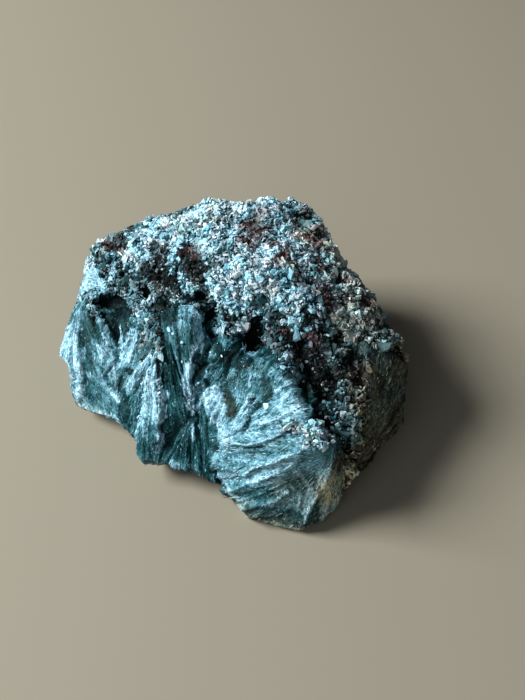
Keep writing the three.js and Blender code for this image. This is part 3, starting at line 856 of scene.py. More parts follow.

# from, to, radius, tone, rust, olive; tones past 1.1 are partly pale flakes and partly painted light
# on slopes turned from the lamp, and tones of 0.10 and less are painted shade in pits and cracks
PATCHES = [
    # mostly on the walls
    ((-20.2, 2.7, 9.3), (-19.6, -0.6, 6.7), 1.3, 0.98, 0.0, 0.0),
    ((-18.5, 4.7, 11.9), (-18.6, 3.4, 11.0), 0.4, 0.75, 0.0, 0.0),
    ((-17.5, -1.9, 5.0), (-14.6, -4.1, 4.3), 1.4, 0.42, 0.0, 0.1),
    ((-17.0, 3.7, 12.3), (-17.4, 1.8, 9.7), 0.8, 0.34, 0.0, 0.55),
    ((-17.2, 1.0, 9.0), (-16.9, -0.9, 7.5), 0.6, 0.50, 0.0, 0.45),
    ((-18.5, 1.0, 8.6), (-19.0, -2.1, 4.1), 0.55, 0.86, 0.0, 0.0),
    ((-16.5, 4.4, 13.0), (-14.1, 0.5, 10.4), 0.25, 0.76, 0.0, 0.1),
    ((-15.3, 0.2, 10.0), (-14.3, -2.8, 7.9), 1.05, 0.76, 0.0, 0.2),
    ((-14.2, -3.4, 5.8), (-13.5, -4.1, 5.5), 0.35, 0.92, 0.0, 0.0),
    ((-14.5, 3.3, 12.6), (-13.9, 2.2, 11.8), 0.5, 0.20, 0.0, 0.2),
    ((-13.8, 2.0, 11.8), (-13.4, 1.1, 11.2), 0.6, 1.02, 0.0, 0.0),
    ((-10.1, 2.5, 15.5), (-10.7, 1.4, 14.6), 0.6, 0.62, 0.0, 0.1),
    ((-8.7, -1.7, 14.9), (-10.5, -2.5, 11.8), 1.0, 0.56, 0.0, 0.5),
    ((-11.6, 0.2, 12.9), (-12.9, -1.6, 9.9), 0.95, 0.92, 0.0, 0.0),
    ((-11.6, 1.6, 14.2), (-10.9, 0.9, 14.2), 0.7, 0.48, 0.0, 0.0),
    ((-12.2, -2.6, 8.8), (-13.4, -3.0, 6.9), 0.7, 0.52, 0.0, 0.4),
    ((-11.9, -2.6, 9.4), (-11.6, -3.0, 9.7), 0.4, 0.05, 0.0, 0.0),
    ((-12.3, -4.4, 7.5), (-12.9, -5.6, 4.5), 0.9, 0.26, 0.0, 0.1),
    ((-8.4, -3.4, 14.1), (-12.2, -4.4, 7.6), 0.55, 0.74, 0.0, 0.0),
    ((-8.6, -5.6, 12.6), (-8.8, -7.5, 10.0), 0.95, 0.93, 0.0, 0.0),
    ((-9.3, -8.0, 9.2), (-9.6, -9.4, 7.6), 1.30, 0.88, 0.0, 0.0),
    ((-8.6, -9.9, 7.6), (-8.9, -10.8, 6.2), 0.6, 0.55, 0.0, 0.0),
    ((-11.0, -10.8, 4.0), (-8.7, -12.1, 3.9), 1.0, 0.56, 0.0, 0.0),
    ((-11.8, -10.5, 3.0), (-10.8, -11.4, 2.4), 0.7, 0.84, 0.0, 0.0),
    ((-6.8, -3.3, 14.6), (-6.6, -6.5, 11.9), 1.0, 0.20, 0.0, 0.0),
    ((-5.3, -4.9, 13.6), (-4.9, -6.1, 12.6), 0.5, 0.42, 0.0, 0.0),
    ((-6.4, -7.7, 10.7), (-5.6, -9.3, 6.9), 1.5, 0.36, 0.0, 0.0),
    ((-5.6, -11.2, 6.1), (-2.6, -12.6, 5.6), 1.5, 0.32, 0.0, 0.0),
    ((-7.8, -12.6, 3.6), (-6.0, -12.9, 3.8), 0.6, 0.80, 0.0, 0.0),
    ((-10.8, -9.6, 6.2), (-10.0, -10.8, 5.0), 0.9, 0.48, 0.0, 0.0),
    ((-7.6, -7.2, 10.6), (-7.8, -9.0, 8.8), 0.6, 1.05, 0.0, 0.0),
    ((-4.4, -5.6, 13.4), (-4.2, -8.2, 10.2), 0.85, 1.10, 0.0, 0.0),
    ((-6.3, -2.4, 16.7), (-4.1, -4.0, 16.0), 1.4, 0.58, 0.0, 0.2),
    ((-5.6, -3.9, 15.0), (-4.0, -4.7, 14.5), 0.7, 0.44, 0.0, 0.25),
    ((-1.4, -2.4, 14.6), (-2.7, -6.1, 11.8), 1.3, 0.26, 0.0, 0.1),
    ((-1.4, -4.1, 14.9), (-2.2, -5.7, 12.4), 0.35, 0.60, 0.0, 0.0),
    ((0.7, -2.8, 17.6), (2.0, -3.1, 16.5), 0.9, 0.30, 0.0, 0.0),
    ((-3.0, -6.2, 11.6), (-3.2, -7.9, 9.9), 0.6, 0.64, 0.0, 0.0),
    ((-1.6, -5.6, 12.9), (-2.0, -6.2, 12.2), 0.5, 0.68, 0.0, 0.0),
    ((0.0, -7.0, 12.6), (3.9, -7.4, 16.4), 0.9, 0.58, 0.0, 0.3),
    ((-2.2, -7.5, 11.3), (-1.5, -9.9, 10.2), 0.75, 0.86, 0.0, 0.0),
    ((-1.2, -10.9, 10.0), (0.0, -13.2, 9.7), 0.8, 0.92, 0.0, 0.0),
    ((-1.7, -11.0, 8.5), (-1.6, -13.8, 6.8), 1.0, 0.34, 0.0, 0.0),
    ((-1.2, -7.6, 11.5), (-0.8, -9.2, 10.4), 0.9, 1.02, 0.0, 0.0),
    ((0.4, -5.4, 15.0), (2.0, -6.0, 15.6), 1.1, 0.16, 0.0, 0.0),
    ((0.5, -7.7, 11.5), (0.8, -10.0, 11.2), 0.8, 0.42, 0.0, 0.95),
    ((3.6, -10.5, 13.4), (2.5, -11.7, 11.2), 0.4, 0.24, 0.0, 0.2),
    ((2.8, -9.9, 13.7), (1.2, -11.8, 10.6), 0.6, 0.80, 0.0, 0.0),
    ((3.0, -8.1, 15.0), (3.7, -8.6, 15.0), 0.8, 0.66, 0.0, 0.0),
    ((5.9, -10.4, 14.8), (7.7, -12.3, 14.8), 1.2, 0.90, 0.0, 0.0),
    ((4.6, -9.1, 15.2), (4.6, -10.1, 14.4), 0.8, 0.40, 0.0, 0.4),
    ((6.5, -9.4, 16.7), (7.3, -9.7, 16.1), 0.7, 0.80, 0.0, 0.0),
    ((3.7, -11.8, 12.2), (6.6, -13.4, 13.7), 0.9, 0.80, 0.0, 0.0),
    ((2.3, -14.3, 9.2), (6.4, -15.0, 11.7), 0.7, 0.74, 0.0, 0.15),
    ((-0.9, -14.0, 7.3), (2.4, -15.9, 8.1), 1.1, 0.66, 0.0, 0.0),
    ((3.0, -16.1, 7.2), (7.4, -16.3, 11.4), 0.8, 0.88, 0.0, 0.0),
    ((6.4, -15.2, 11.8), (7.2, -15.5, 12.2), 0.7, 0.50, 0.0, 0.1),
    ((4.8, -16.9, 5.9), (9.1, -16.7, 9.9), 1.3, 0.70, 0.0, 0.15),
    ((5.9, -16.2, 9.2), (7.4, -16.4, 10.4), 0.75, 0.95, 0.0, 0.0),
    ((1.1, -16.5, 4.3), (4.8, -17.4, 5.4), 1.0, 0.50, 0.0, 0.0),
    ((-0.3, -15.4, 4.3), (1.0, -16.6, 2.2), 0.4, 0.85, 0.0, 0.0),
    ((3.0, -18.2, 2.2), (7.6, -19.0, 2.7), 1.3, 0.40, 0.0, 0.1),
    ((8.0, -17.3, 7.0), (9.8, -17.0, 7.7), 1.0, 0.58, 0.0, 0.3),
    ((12.3, -16.2, 9.5), (12.8, -17.3, 2.2), 2.0, 0.84, 0.0, 0.1),
    ((10.8, -17.1, 7.3), (11.4, -17.5, 6.4), 0.4, 0.84, 0.0, 0.0),
    ((14.1, -13.3, 10.3), (19.4, -6.8, 9.1), 4.0, 0.46, 0.0, 0.0),
    ((20.0, -4.8, 10.4), (21.0, -1.5, 10.5), 3.0, 0.40, 0.0, 0.0),
    ((14.5, -13.6, 1.5), (19.5, -9.5, 1.5), 2.0, 0.28, 0.2, 0.0),
    # mostly in the crust
    ((-16.0, 5.7, 13.1), (-14.0, 5.8, 12.7), 0.9, 0.12, 0.0, 0.6),
    ((-15.7, 14.1, 14.7), (-13.4, 13.0, 15.1), 1.0, 0.50, 1.0, 0.0),
    ((-12.1, 11.2, 16.9), (-9.4, 8.1, 18.7), 1.1, 0.86, 0.0, 0.0),
    ((-14.2, 12.1, 14.4), (-12.3, 9.0, 15.8), 0.9, 0.80, 0.0, 0.0),
    ((-15.6, 11.2, 14.6), (-15.8, 9.9, 13.8), 0.9, 0.18, 0.2, 0.0),
    ((-17.2, 13.0, 14.1), (-16.4, 12.4, 14.6), 0.8, 0.90, 0.0, 0.0),
    ((-13.8, 6.5, 14.4), (-13.2, 6.0, 14.8), 0.9, 0.20, 0.0, 0.2),
    ((-13.2, 8.1, 15.1), (-12.3, 5.9, 15.0), 1.1, 0.26, 0.0, 0.3),
    ((-10.0, 6.8, 17.9), (-9.6, 6.0, 18.1), 0.9, 0.28, 0.4, 0.1),
    ((-8.6, 4.9, 18.2), (-7.0, 3.9, 18.7), 1.1, 0.20, 0.3, 0.0),
    ((-8.8, 8.8, 19.1), (-7.7, 6.6, 19.5), 1.0, 0.42, 0.3, 0.1),
    ((-5.0, 6.9, 20.2), (-3.4, 4.1, 19.7), 1.4, 0.24, 0.4, 0.2),
    ((-9.3, 1.7, 15.3), (-7.2, -1.6, 15.8), 1.2, 0.34, 0.3, 0.0),
    ((-7.0, 0.6, 17.0), (-6.4, -1.0, 17.2), 1.0, 0.18, 0.2, 0.0),
    ((-1.6, -3.6, 15.6), (-0.8, -4.8, 15.2), 0.7, 0.14, 0.0, 0.0),
    ((-4.9, 3.7, 18.2), (-3.9, 3.0, 18.1), 0.9, 0.98, 0.0, 0.0),
    ((-3.2, 2.6, 17.0), (-2.2, 1.0, 16.0), 1.0, 0.08, 0.3, 0.0),
    ((-4.2, 0.4, 17.8), (-3.3, -0.9, 17.8), 0.45, 0.85, 0.0, 0.0),
    ((-3.4, -1.3, 17.4), (-3.1, -3.6, 15.7), 0.75, 0.96, 0.0, 0.0),
    ((-7.8, 12.0, 19.1), (-4.1, 13.2, 20.4), 1.8, 0.98, 0.0, 0.0),
    ((-1.5, 11.0, 21.2), (-0.6, 9.6, 21.4), 1.2, 0.96, 0.0, 0.0),
    ((1.5, 10.6, 21.3), (-0.2, 11.2, 21.3), 1.3, 0.90, 0.15, 0.0),
    ((2.7, 10.7, 21.6), (2.4, 7.1, 21.9), 1.2, 0.80, 0.5, 0.0),
    ((4.1, 9.4, 21.4), (3.4, 8.6, 21.6), 1.1, 0.56, 0.8, 0.0),
    ((-1.6, 4.8, 21.1), (-0.3, 5.1, 21.7), 0.9, 0.50, 0.0, 0.2),
    ((2.4, 1.7, 21.5), (4.1, 4.9, 21.9), 2.0, 1.12, 0.0, 0.0),
    ((5.4, 7.2, 21.6), (5.8, 6.4, 21.4), 0.8, 0.52, 0.5, 0.0),
    ((3.0, 5.6, 22.1), (3.9, 6.2, 22.0), 1.1, 1.45, 0.0, 0.0),
    ((3.6, -0.1, 20.3), (4.4, -0.4, 20.1), 0.8, 0.46, 0.2, 0.0),
    ((-0.4, -1.3, 18.6), (0.3, -1.8, 18.5), 1.0, 0.34, 0.2, 0.0),
    ((-0.8, 11.8, 21.2), (0.2, 11.4, 21.3), 0.9, 1.10, 0.0, 0.0),
    ((-0.4, 2.3, 20.6), (1.0, 1.6, 21.0), 1.3, 1.05, 0.0, 0.0),
    ((-0.9, 4.8, 21.6), (0.4, 5.0, 22.0), 1.3, 0.36, 0.1, 0.1),
    ((1.8, -0.1, 19.6), (1.2, -0.6, 19.1), 1.2, 1.22, 0.0, 0.0),
    ((6.4, 4.7, 21.4), (5.9, 3.8, 21.3), 0.8, 0.60, 0.9, 0.0),
    ((7.8, 4.2, 20.9), (7.8, 2.8, 20.8), 0.7, 0.60, 0.3, 0.3),
    ((6.6, 2.9, 21.0), (5.0, 1.2, 21.0), 1.2, 1.15, 0.0, 0.0),
    ((6.8, 13.3, 20.9), (5.6, 14.2, 20.9), 1.2, 1.12, 0.0, 0.0),
    ((9.0, 9.4, 20.4), (7.0, 9.0, 21.0), 1.3, 1.05, 0.0, 0.0),
    ((9.2, -1.6, 20.4), (9.9, -1.0, 20.1), 1.2, 0.95, 0.0, 0.0),
    ((2.7, -1.5, 15.8), (4.1, -1.1, 17.0), 1.2, 0.05, 0.2, 0.0),
    ((8.5, -5.6, 17.7), (9.8, -7.7, 15.7), 1.5, 0.10, 0.3, 0.0),
    ((7.8, -8.6, 15.5), (8.4, -9.2, 15.1), 0.7, 0.82, 0.0, 0.0),
    ((9.2, -10.1, 15.0), (10.1, -10.9, 14.6), 0.75, 0.10, 0.1, 0.0),
    ((10.5, -8.3, 15.0), (11.6, -8.1, 15.2), 1.1, 0.14, 0.3, 0.0),
    ((13.9, -10.2, 13.1), (14.3, -11.0, 12.4), 0.9, 0.90, 0.0, 0.0),
    ((7.6, -13.6, 13.4), (9.1, -14.9, 13.6), 0.75, 0.84, 0.0, 0.0),
    ((9.3, -15.5, 13.9), (10.6, -15.9, 14.0), 0.7, 0.84, 0.0, 0.0),
    ((10.6, -12.8, 13.9), (11.6, -13.3, 13.3), 0.9, 0.26, 0.3, 0.0),
    ((11.5, -14.4, 12.9), (12.2, -14.6, 12.3), 0.8, 0.66, 0.0, 0.0),
    ((12.6, -9.0, 14.2), (13.4, -9.6, 13.6), 0.9, 0.28, 0.2, 0.0),
    ((5.4, -2.9, 19.0), (6.4, -3.4, 18.9), 1.1, 0.22, 0.2, 0.0),
    ((1.4, -3.6, 15.6), (2.4, -2.4, 16.0), 0.9, 0.16, 0.0, 0.0),
    ((13.6, -1.2, 17.5), (14.6, -1.9, 16.9), 1.2, 1.15, 0.0, 0.0),
    ((13.6, 10.6, 16.4), (14.5, 9.6, 16.2), 1.5, 1.30, 0.0, 0.0),
    ((15.0, 8.0, 16.8), (16.2, 5.0, 17.0), 1.3, 0.78, 0.0, 0.1),
    ((15.6, 9.2, 15.2), (15.1, 10.8, 13.8), 1.5, 1.40, 0.0, 0.0),
    ((19.0, -1.0, 14.8), (20.2, -2.0, 13.8), 1.0, 0.36, 0.2, 0.0),
    ((17.6, 0.6, 15.5), (18.4, -0.2, 15.1), 1.0, 0.80, 0.1, 0.0),
    ((-5.9, 7.6, 19.9), (-5.9, 6.6, 19.8), 0.8, 0.76, 0.0, 0.0),
    ((-14.6, 14.9, 15.8), (-13.4, 13.4, 15.6), 1.2, 0.26, 0.4, 0.0),
    ((-12.4, 14.8, 17.2), (-11.0, 15.2, 17.8), 1.3, 0.42, 0.1, 0.0),
    ((3.6, 11.5, 21.6), (4.6, 10.8, 21.7), 1.0, 0.50, 0.4, 0.0),
    ((7.8, -4.3, 18.9), (8.6, -5.1, 18.4), 0.8, 0.74, 0.1, 0.0),
    ((8.6, -2.8, 20.5), (7.3, -3.8, 19.2), 1.0, 1.12, 0.0, 0.0),
    ((4.2, -5.1, 16.8), (6.0, -5.0, 17.4), 1.1, 0.18, 0.4, 0.0),
    ((12.3, 3.8, 19.4), (13.1, 2.8, 19.0), 1.0, 1.00, 0.0, 0.0),
    ((13.0, 6.4, 18.9), (13.6, 5.9, 18.6), 1.0, 1.00, 0.0, 0.0),
    ((10.4, 9.2, 19.6), (11.3, 8.6, 19.3), 0.9, 0.46, 0.4, 0.0),
    ((-17.2, 6.4, 13.4), (-16.3, 6.3, 13.7), 0.6, 0.90, 0.0, 0.0),
    ((-10.3, 1.2, 14.9), (-9.2, 1.0, 15.3), 0.7, 0.78, 0.0, 0.0),
    ((10.0, -2.8, 18.9), (10.7, -3.4, 18.5), 0.9, 0.26, 0.3, 0.0),
    ((12.6, -4.6, 16.8), (14.0, -5.7, 15.6), 1.2, 0.26, 0.2, 0.0),
    ((-7.5, 15.6, 17.8), (-5.5, 16.2, 18.6), 1.8, 0.36, 0.0, 0.0),
    ((-0.7, -14.8, 2.8), (0.2, -15.6, 1.0), 1.2, 0.34, 0.0, 0.0),
    # small spots, most of them rust
    ((1.8, 6.9, 22.2), (2.5, 6.3, 22.2), 0.7, 0.80, 1.0, 0.0),
    ((5.9, 4.2, 21.5), (7.3, 5.7, 21.1), 0.6, 0.90, 1.0, 0.0),
    ((6.6, -4.4, 18.6), (7.1, -4.7, 18.5), 0.7, 0.50, 1.0, 0.0),
    ((2.7, 10.6, 21.5), (3.1, 9.8, 21.5), 0.6, 0.95, 1.0, 0.0),
    ((9.5, -4.8, 18.3), (10.0, -5.2, 17.9), 0.8, 0.40, 0.9, 0.0),
    ((8.3, 2.4, 20.6), (8.6, 1.5, 20.6), 0.6, 0.70, 0.9, 0.0),
    ((11.6, 1.2, 19.5), (12.0, 0.4, 19.3), 0.7, 0.60, 0.9, 0.0),
    ((13.7, 4.9, 18.5), (14.1, 4.3, 18.3), 0.5, 0.70, 0.9, 0.0),
    ((-5.3, 7.0, 20.1), (-4.7, 6.5, 20.2), 0.8, 0.45, 1.0, 0.0),
    ((11.4, -0.7, 19.1), (11.6, -1.1, 18.9), 0.6, 0.45, 0.9, 0.0),
    ((-3.6, 6.2, 20.7), (-3.2, 5.7, 20.8), 0.5, 0.90, 0.8, 0.0),
    ((11.0, 5.6, 19.9), (11.5, 4.9, 19.8), 0.6, 0.80, 0.9, 0.0),
    ((16.4, 2.2, 17.0), (16.8, 1.4, 17.0), 0.7, 0.50, 0.9, 0.0),
    ((10.0, 9.6, 19.8), (10.4, 9.0, 19.7), 0.7, 0.70, 0.9, 0.0),
    ((4.0, -3.9, 15.0), (4.6, -3.4, 15.0), 0.6, 0.30, 0.9, 0.0),
    ((-2.6, -2.0, 15.8), (-2.6, -2.9, 14.8), 0.6, 0.66, 0.0, 0.0),
    ((14.6, 2.2, 18.2), (15.0, 1.5, 18.1), 0.7, 0.34, 0.3, 0.0),
]

# place, radius, and share of wearing and painted warm bounce light on the shaded right side
WORN_AND_BOUNCE = [
    ((16.0, -1.0, 15.0), 9.0, 0.40),
    ((12.0, -7.0, 15.0), 6.0, 0.30),
    ((18.0, -10.0, 6.0), 9.0, 0.90),
    ((20.6, -3.0, 9.0), 8.0, 0.80),
    ((14.0, -15.4, 5.6), 7.0, 0.90),
    ((8.0, -17.4, 6.0), 5.0, 0.25),
    ((14.8, 6.5, 17.5), 6.0, 0.40),
    ((16.5, -8.0, 12.5), 5.5, 0.85),
    ((18.6, 2.4, 15.4), 4.5, 0.55),
    ((10.5, 9.5, 19.5), 4.0, 0.45),
]
print(len(ZONES), "zones,", len(PATCHES), "patches and", len(WORN_AND_BOUNCE), "worn places")

# %% Tone and stains
ZONE_WARP_MM = 0.7
ZONE_SPREAD = 1.25
CLUMP_RUST = 0.6
CLUMP_RIM = (0.30, 0.9)
PATCH_RAGGED_MM = 0.35
# shares of the radius at which a patch begins and is whole
PATCH_RIM = (1.25, 0.85)


def stained(points, tone):
    """The tone shifted by the zones, whose rims noise warps, with the rust and the olive there.
    Rust also lies in clumps, which are noise at 3.1 and 1.1 mm."""
    clumps = noise(points / 3.1, 81) + 0.35 * noise(points / 1.1, 82)
    rust = CLUMP_RUST * smooth_step(*CLUMP_RIM, clumps)
    olive = np.zeros(len(points))
    warp = np.stack([noise(points * 1.3, seed) for seed in (83, 84, 85)], axis=1)
    warped = points + ZONE_WARP_MM * warp
    for place, radius, shift, rusty, mossy in ZONES:
        share = nearby(warped, place, radius * ZONE_SPREAD)
        tone = tone + shift * share
        rust = rust * (1 - share) + np.maximum(rust, rusty) * share
        olive = np.maximum(olive, mossy * share)
    return tone, rust, olive


def patched(points, look):
    """The tone, the rust and the olive, which turn into a patch's own inside it. A patch has ragged
    rims, and a later one lies over an earlier one."""
    ragged = PATCH_RAGGED_MM * (noise(points * 1.4, 89) + 0.5 * noise(points * 3.5, 90))
    begins, whole = PATCH_RIM
    for start, end, radius, *own in PATCHES:
        away = line_distance(points, start, end) + ragged
        share = smooth_step(radius * begins, radius * whole, away)
        look = [value + (patch - value) * share for value, patch in zip(look, own)]
    return look


# %% Streaks, clumps and wear
DRIFT_TONE = 0.06
BROAD_STREAK_TONE = 0.07
NARROW_STREAK_TONE = 0.14
FLAT_PLAIN = 0.6
# strength, size in mm and seed
CRUST_CLUMPS = ((0.08, 3.6, 92), (0.20, 1.5, 93), (0.12, 0.7, 94))
CRUST_WEAR = 0.03
WORN_CLUMPS = 0.22
WEAR_AND_BOUNCE_DRIFT = 0.35
WEAR_AND_BOUNCE_CORE = 0.6
# painted warm light bounced from the floor round the foot, mixed in as warm grey
FOOT_BOUNCE_LIGHT = 0.60
FOOT_MM = (4.5, 0.5)
PIT_WEAR = 0.25


def feather_tone(feather, run):
    """The tone of a feather, from its root to its tip."""
    tones = np.array([row[3:5] for row in FEATHERS])[feather]
    return tones[:, 0] + (tones[:, 1] - tones[:, 0]) * np.clip(run, 0, 1)


def streak_tone(points, feather, side, run):
    """What drift and streaks add to a feather's tone: noise at 2.4 mm, and noise that is broad and
    narrow across the fibres and long along them. Streaks are weaker where a sheet broke flat."""
    angle = side * openings[feather]
    broad = fan_noise(angle * 10, run * 2.2, feather * 4.0, 86)
    narrow = fan_noise(angle * 26, run * 6.0, feather * 4.0, 87)
    streaks = BROAD_STREAK_TONE * broad + NARROW_STREAK_TONE * narrow
    return DRIFT_TONE * noise(points / 2.4, 88) + streaks * (1 - FLAT_PLAIN * flat)


def crust_clump_tone(points):
    """The crust's pale and dark clumps, which are noise at three sizes."""
    return sum(strength * noise(points / size, seed) for strength, size, seed in CRUST_CLUMPS)


def wear_and_bounce_share(points):
    """How far the rock turns warm grey: most near a listed place, where it is partly wearing and
    partly painted warm light bounced from the floor onto the shaded side; painted bounce light round
    the foot; wearing in the pits and a little all over the crust. Clumps of the crust, which are
    noise at
    1.9 mm, turn grey more, and noise at 2.2 mm makes all of it uneven."""
    wear_and_bounce = np.maximum(CRUST_WEAR * (1 - covered), PIT_WEAR * in_pit)
    wear_and_bounce = np.maximum(wear_and_bounce, FOOT_BOUNCE_LIGHT * smooth_step(*FOOT_MM, points[:, 2]))
    for place, radius, share in WORN_AND_BOUNCE:
        wear_and_bounce = np.maximum(wear_and_bounce, share * smooth_step(0, WEAR_AND_BOUNCE_CORE, nearby(points, place, radius)))
    wear_and_bounce = wear_and_bounce + WORN_CLUMPS * smooth_step(0.0, 0.6, noise(points / 1.9, 96)) * (1 - covered)
    return wear_and_bounce * (1 + WEAR_AND_BOUNCE_DRIFT * noise(points / 2.2, 95))


# %% The rock's own values
CRUST_TONE = 0.88
CRUST_CREST_LIGHT_AND_SHADE = 0.5
FEATHER_PALEST = 1.02
FEATHER_RUST = 0.15

on_feather = covered > 0.5
plain_tone = feather_tone(feather, run) * covered + CRUST_TONE * (1 - covered)
streaks = streak_tone(skin_points, feather, side, run)
# how far each point turns warm grey: wearing, and painted warm bounce light on the shaded side
rock_wear_and_bounce = wear_and_bounce_share(skin_points)
rock_tone, rock_rust, rock_olive = patched(skin_points, stained(skin_points, plain_tone))
# painted highlights and shade along the crests, half as strong on the crust
rock_tone = rock_tone + crest_light_and_shade * np.where(on_feather, 1, CRUST_CREST_LIGHT_AND_SHADE)
rock_tone = rock_tone + np.where(on_feather, streaks, crust_clump_tone(skin_points))
rock_tone = np.where(on_feather, np.minimum(rock_tone, FEATHER_PALEST), rock_tone)
rock_rust = rock_rust * np.where(on_feather, FEATHER_RUST, 1)
print("rock tones run from", rock_tone.min().round(2), "to", rock_tone.max().round(2))

# %% [markdown]
# ## The finishes
#
# The skin's base colour is the one each point carries, broken up by noise that is stretched along
# the fibres. The same noise drives the roughness and a shallow bump, so pale streaks are also the
# silky ones. An image could hold such streaks too, but it would need seams, and noise needs none.
# The flakes and scales carry one colour each and are glossier, because they are clean cleavage
# faces. Real ones differ a little in hue, so slow noise takes the flakes from a blue-green to a rosy
# grey, and the scales far less.

# %% Finishes
# across a strand and along it
STREAK_SCALE = (3.6, 0.8, 1.0)
FINE_STREAK_SCALE = (6.5, 2.4, 1.0)
# in grains to the metre
SKIN_GRAIN = (3600.0,) * 3
FLAKE_GRAIN = (2400.0,) * 3
SCALE_GRAIN = (1800.0,) * 3
HUE_GRAIN = (560.0,) * 3
# what a colour is multiplied by where the noise is low and where it is high
SKIN_DARK = (0.28, 0.42, 0.44)
SKIN_PALE = (1.38, 1.32, 1.30)
PLATE_DULL = (0.58, 0.64, 0.66)
FLAKE_HUES = ((0.74, 1.02, 1.05), (1.30, 0.97, 0.92))
SCALE_HUES = ((1.04, 0.99, 0.97), (0.96, 1.01, 1.03))
STREAK_SHARE = 0.35
GRAIN_SHARE = 0.30
# the noise below the first number counts as low, and above the second as high
SKIN_CONTRAST = (0.45, 0.56)
PLATE_CONTRAST = (0.38, 0.62)
HUE_CONTRAST = (0.36, 0.64)
SKIN_ROUGHNESS = 0.62
SKIN_SILK = 0.20
PLATE_GLOSS = 0.15


def skin_finish():
    """The colour of each point, streaked along the strands on feathers and speckled on the crust.
    The pattern on a feather is about a third each of broad streaks, fine streaks and grains, and
    where it is high the rock is paler and smoother, and it stands up."""
    material, tree = new_tree("chlorite_skin")
    colour = field(tree, "tint", "Color")
    crusty = field(tree, "crusty", "Fac")
    strand = field(tree, "strand", "Vector")
    streaks = stretched_noise(tree, strand, STREAK_SCALE, 2.0)
    fine = stretched_noise(tree, strand, FINE_STREAK_SCALE, 2.0)
    grains = stretched_noise(tree, object_place(tree), SKIN_GRAIN, 3.0)
    fibres = streaks * STREAK_SHARE + fine * STREAK_SHARE + grains * GRAIN_SHARE
    fibres = fibres * (1 - crusty) + grains * crusty
    pale = fibres.clipped(*SKIN_CONTRAST)
    dark = blend_colours(tree, 1.0, colour, SKIN_DARK, "MULTIPLY")
    light = blend_colours(tree, 1.0, colour, SKIN_PALE, "MULTIPLY")
    base = blend_colours(tree, pale, dark, light)
    rough = SKIN_ROUGHNESS - pale * SKIN_SILK
    new_finish(
        "chlorite_skin", base, rough, fibres, bump_mm=0.16, bump_strength=0.9, specular=0.08
    )
    return material


def cleavage_finish(name, grain_scale, rough, hues):
    """The piece's own colour with a little noise, and a soft gloss. Slower noise takes the colour
    from the first of the two hues to the second."""
    material, tree = new_tree(name)
    place = object_place(tree)
    grain = stretched_noise(tree, place, grain_scale, 3.0)
    clean = grain.clipped(*PLATE_CONTRAST)
    colour = field(tree, "tint", "Color")
    dull = blend_colours(tree, 1.0, colour, PLATE_DULL, "MULTIPLY")
    drift = stretched_noise(tree, place, HUE_GRAIN, 2.0).clipped(*HUE_CONTRAST)
    hue = blend_colours(tree, drift, *hues)
    base = blend_colours(tree, 1.0, blend_colours(tree, clean, dull, colour), hue, "MULTIPLY")
    rough = rough - clean * PLATE_GLOSS
    new_finish(name, base, rough, grain, bump_mm=0.05, bump_strength=0.6, specular=0.10)
    return material


skin_material = skin_finish()
flake_material = cleavage_finish("chlorite_flakes", FLAKE_GRAIN, 0.50, FLAKE_HUES)
scale_material = cleavage_finish("chlorite_scales", SCALE_GRAIN, 0.52, SCALE_HUES)

# %% [markdown]
# ## What the skin carries
#
# The skin is one closed mesh and takes the solid's place. A finish can only follow the fibres if it
# is told where they run, so each point carries its tint, how crusty it is, and its place across and
# along its strand. A UV map could hold the place, but a value on the points needs no seam. Painted
# shade darkens the gaps between the flakes, which are also a little rusty, and darker painted shade
# fills the pits.

# %% Skin piece
GAP_PAINTED_SHADE = -0.44
GAP_RUST = 0.40
SKIN_RUBBLE_LIGHT_AND_SHADE = 0.30
RELIEF_LIGHT_AND_SHADE = 0.30
RELIEF_MOST_MM = 0.5
PIT_PAINTED_SHADE = 0.8
STRAND_ACROSS = 8
STRANDS_APART = 7.3

# painted shade in the gaps under the flakes, deeper in the rubble's hollows and lighter on its tops
skin_tone = rock_tone + (GAP_PAINTED_SHADE + SKIN_RUBBLE_LIGHT_AND_SHADE * crust_rubble) * (1 - covered)
raised = np.clip(feather_height, -RELIEF_MOST_MM, RELIEF_MOST_MM)
# painted light on the raised parts of the feathers and painted shade in their low parts
skin_tone = skin_tone + RELIEF_LIGHT_AND_SHADE * raised * covered
# painted shade in the pits
skin_tone = skin_tone * (1 - PIT_PAINTED_SHADE * in_pit)
skin = new_piece("chlorite_skin", skin_points, [skin_triangles], skin_material, True)
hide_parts(STONE)
across = side * openings[feather] * STRAND_ACROSS
strand = np.stack([across, run * lengths[feather], feather * STRANDS_APART], axis=1)
skin_rust = rock_rust + GAP_RUST * (1 - covered)
give(skin, "tint", "FLOAT_COLOR", chlorite_colour(skin_tone, skin_rust, rock_olive, rock_wear_and_bounce))
give(skin, "crusty", "FLOAT", 1 - covered)
give(skin, "strand", "FLOAT_VECTOR", strand)
print("skin tones run from", skin_tone.min().round(2), "to", skin_tone.max().round(2))

# %% [markdown]
# ## Flakes and scales
#
# The crust is thousands of small plates, half a millimetre across, that lean every way and catch
# the light one by one. On the feathers the same plates are narrow scales that lie along the fibres.
# Geometry Nodes could scatter instances, but a joined mesh from arrays keeps one colour for each
# plate and exports as it is. A flake is a thin slab with six corners and a scale one with four, and
# the upper face of each is a little smaller than its lower one.

# %% Plates
UPPER_SHARE = 0.8
HALF_THICKNESS = 0.1
CORNER_SHIFT = 0.3
CORNER_REACH = (0.7, 1.15)
ROCK = (rock_tone, rock_rust, rock_olive, rock_wear_and_bounce)


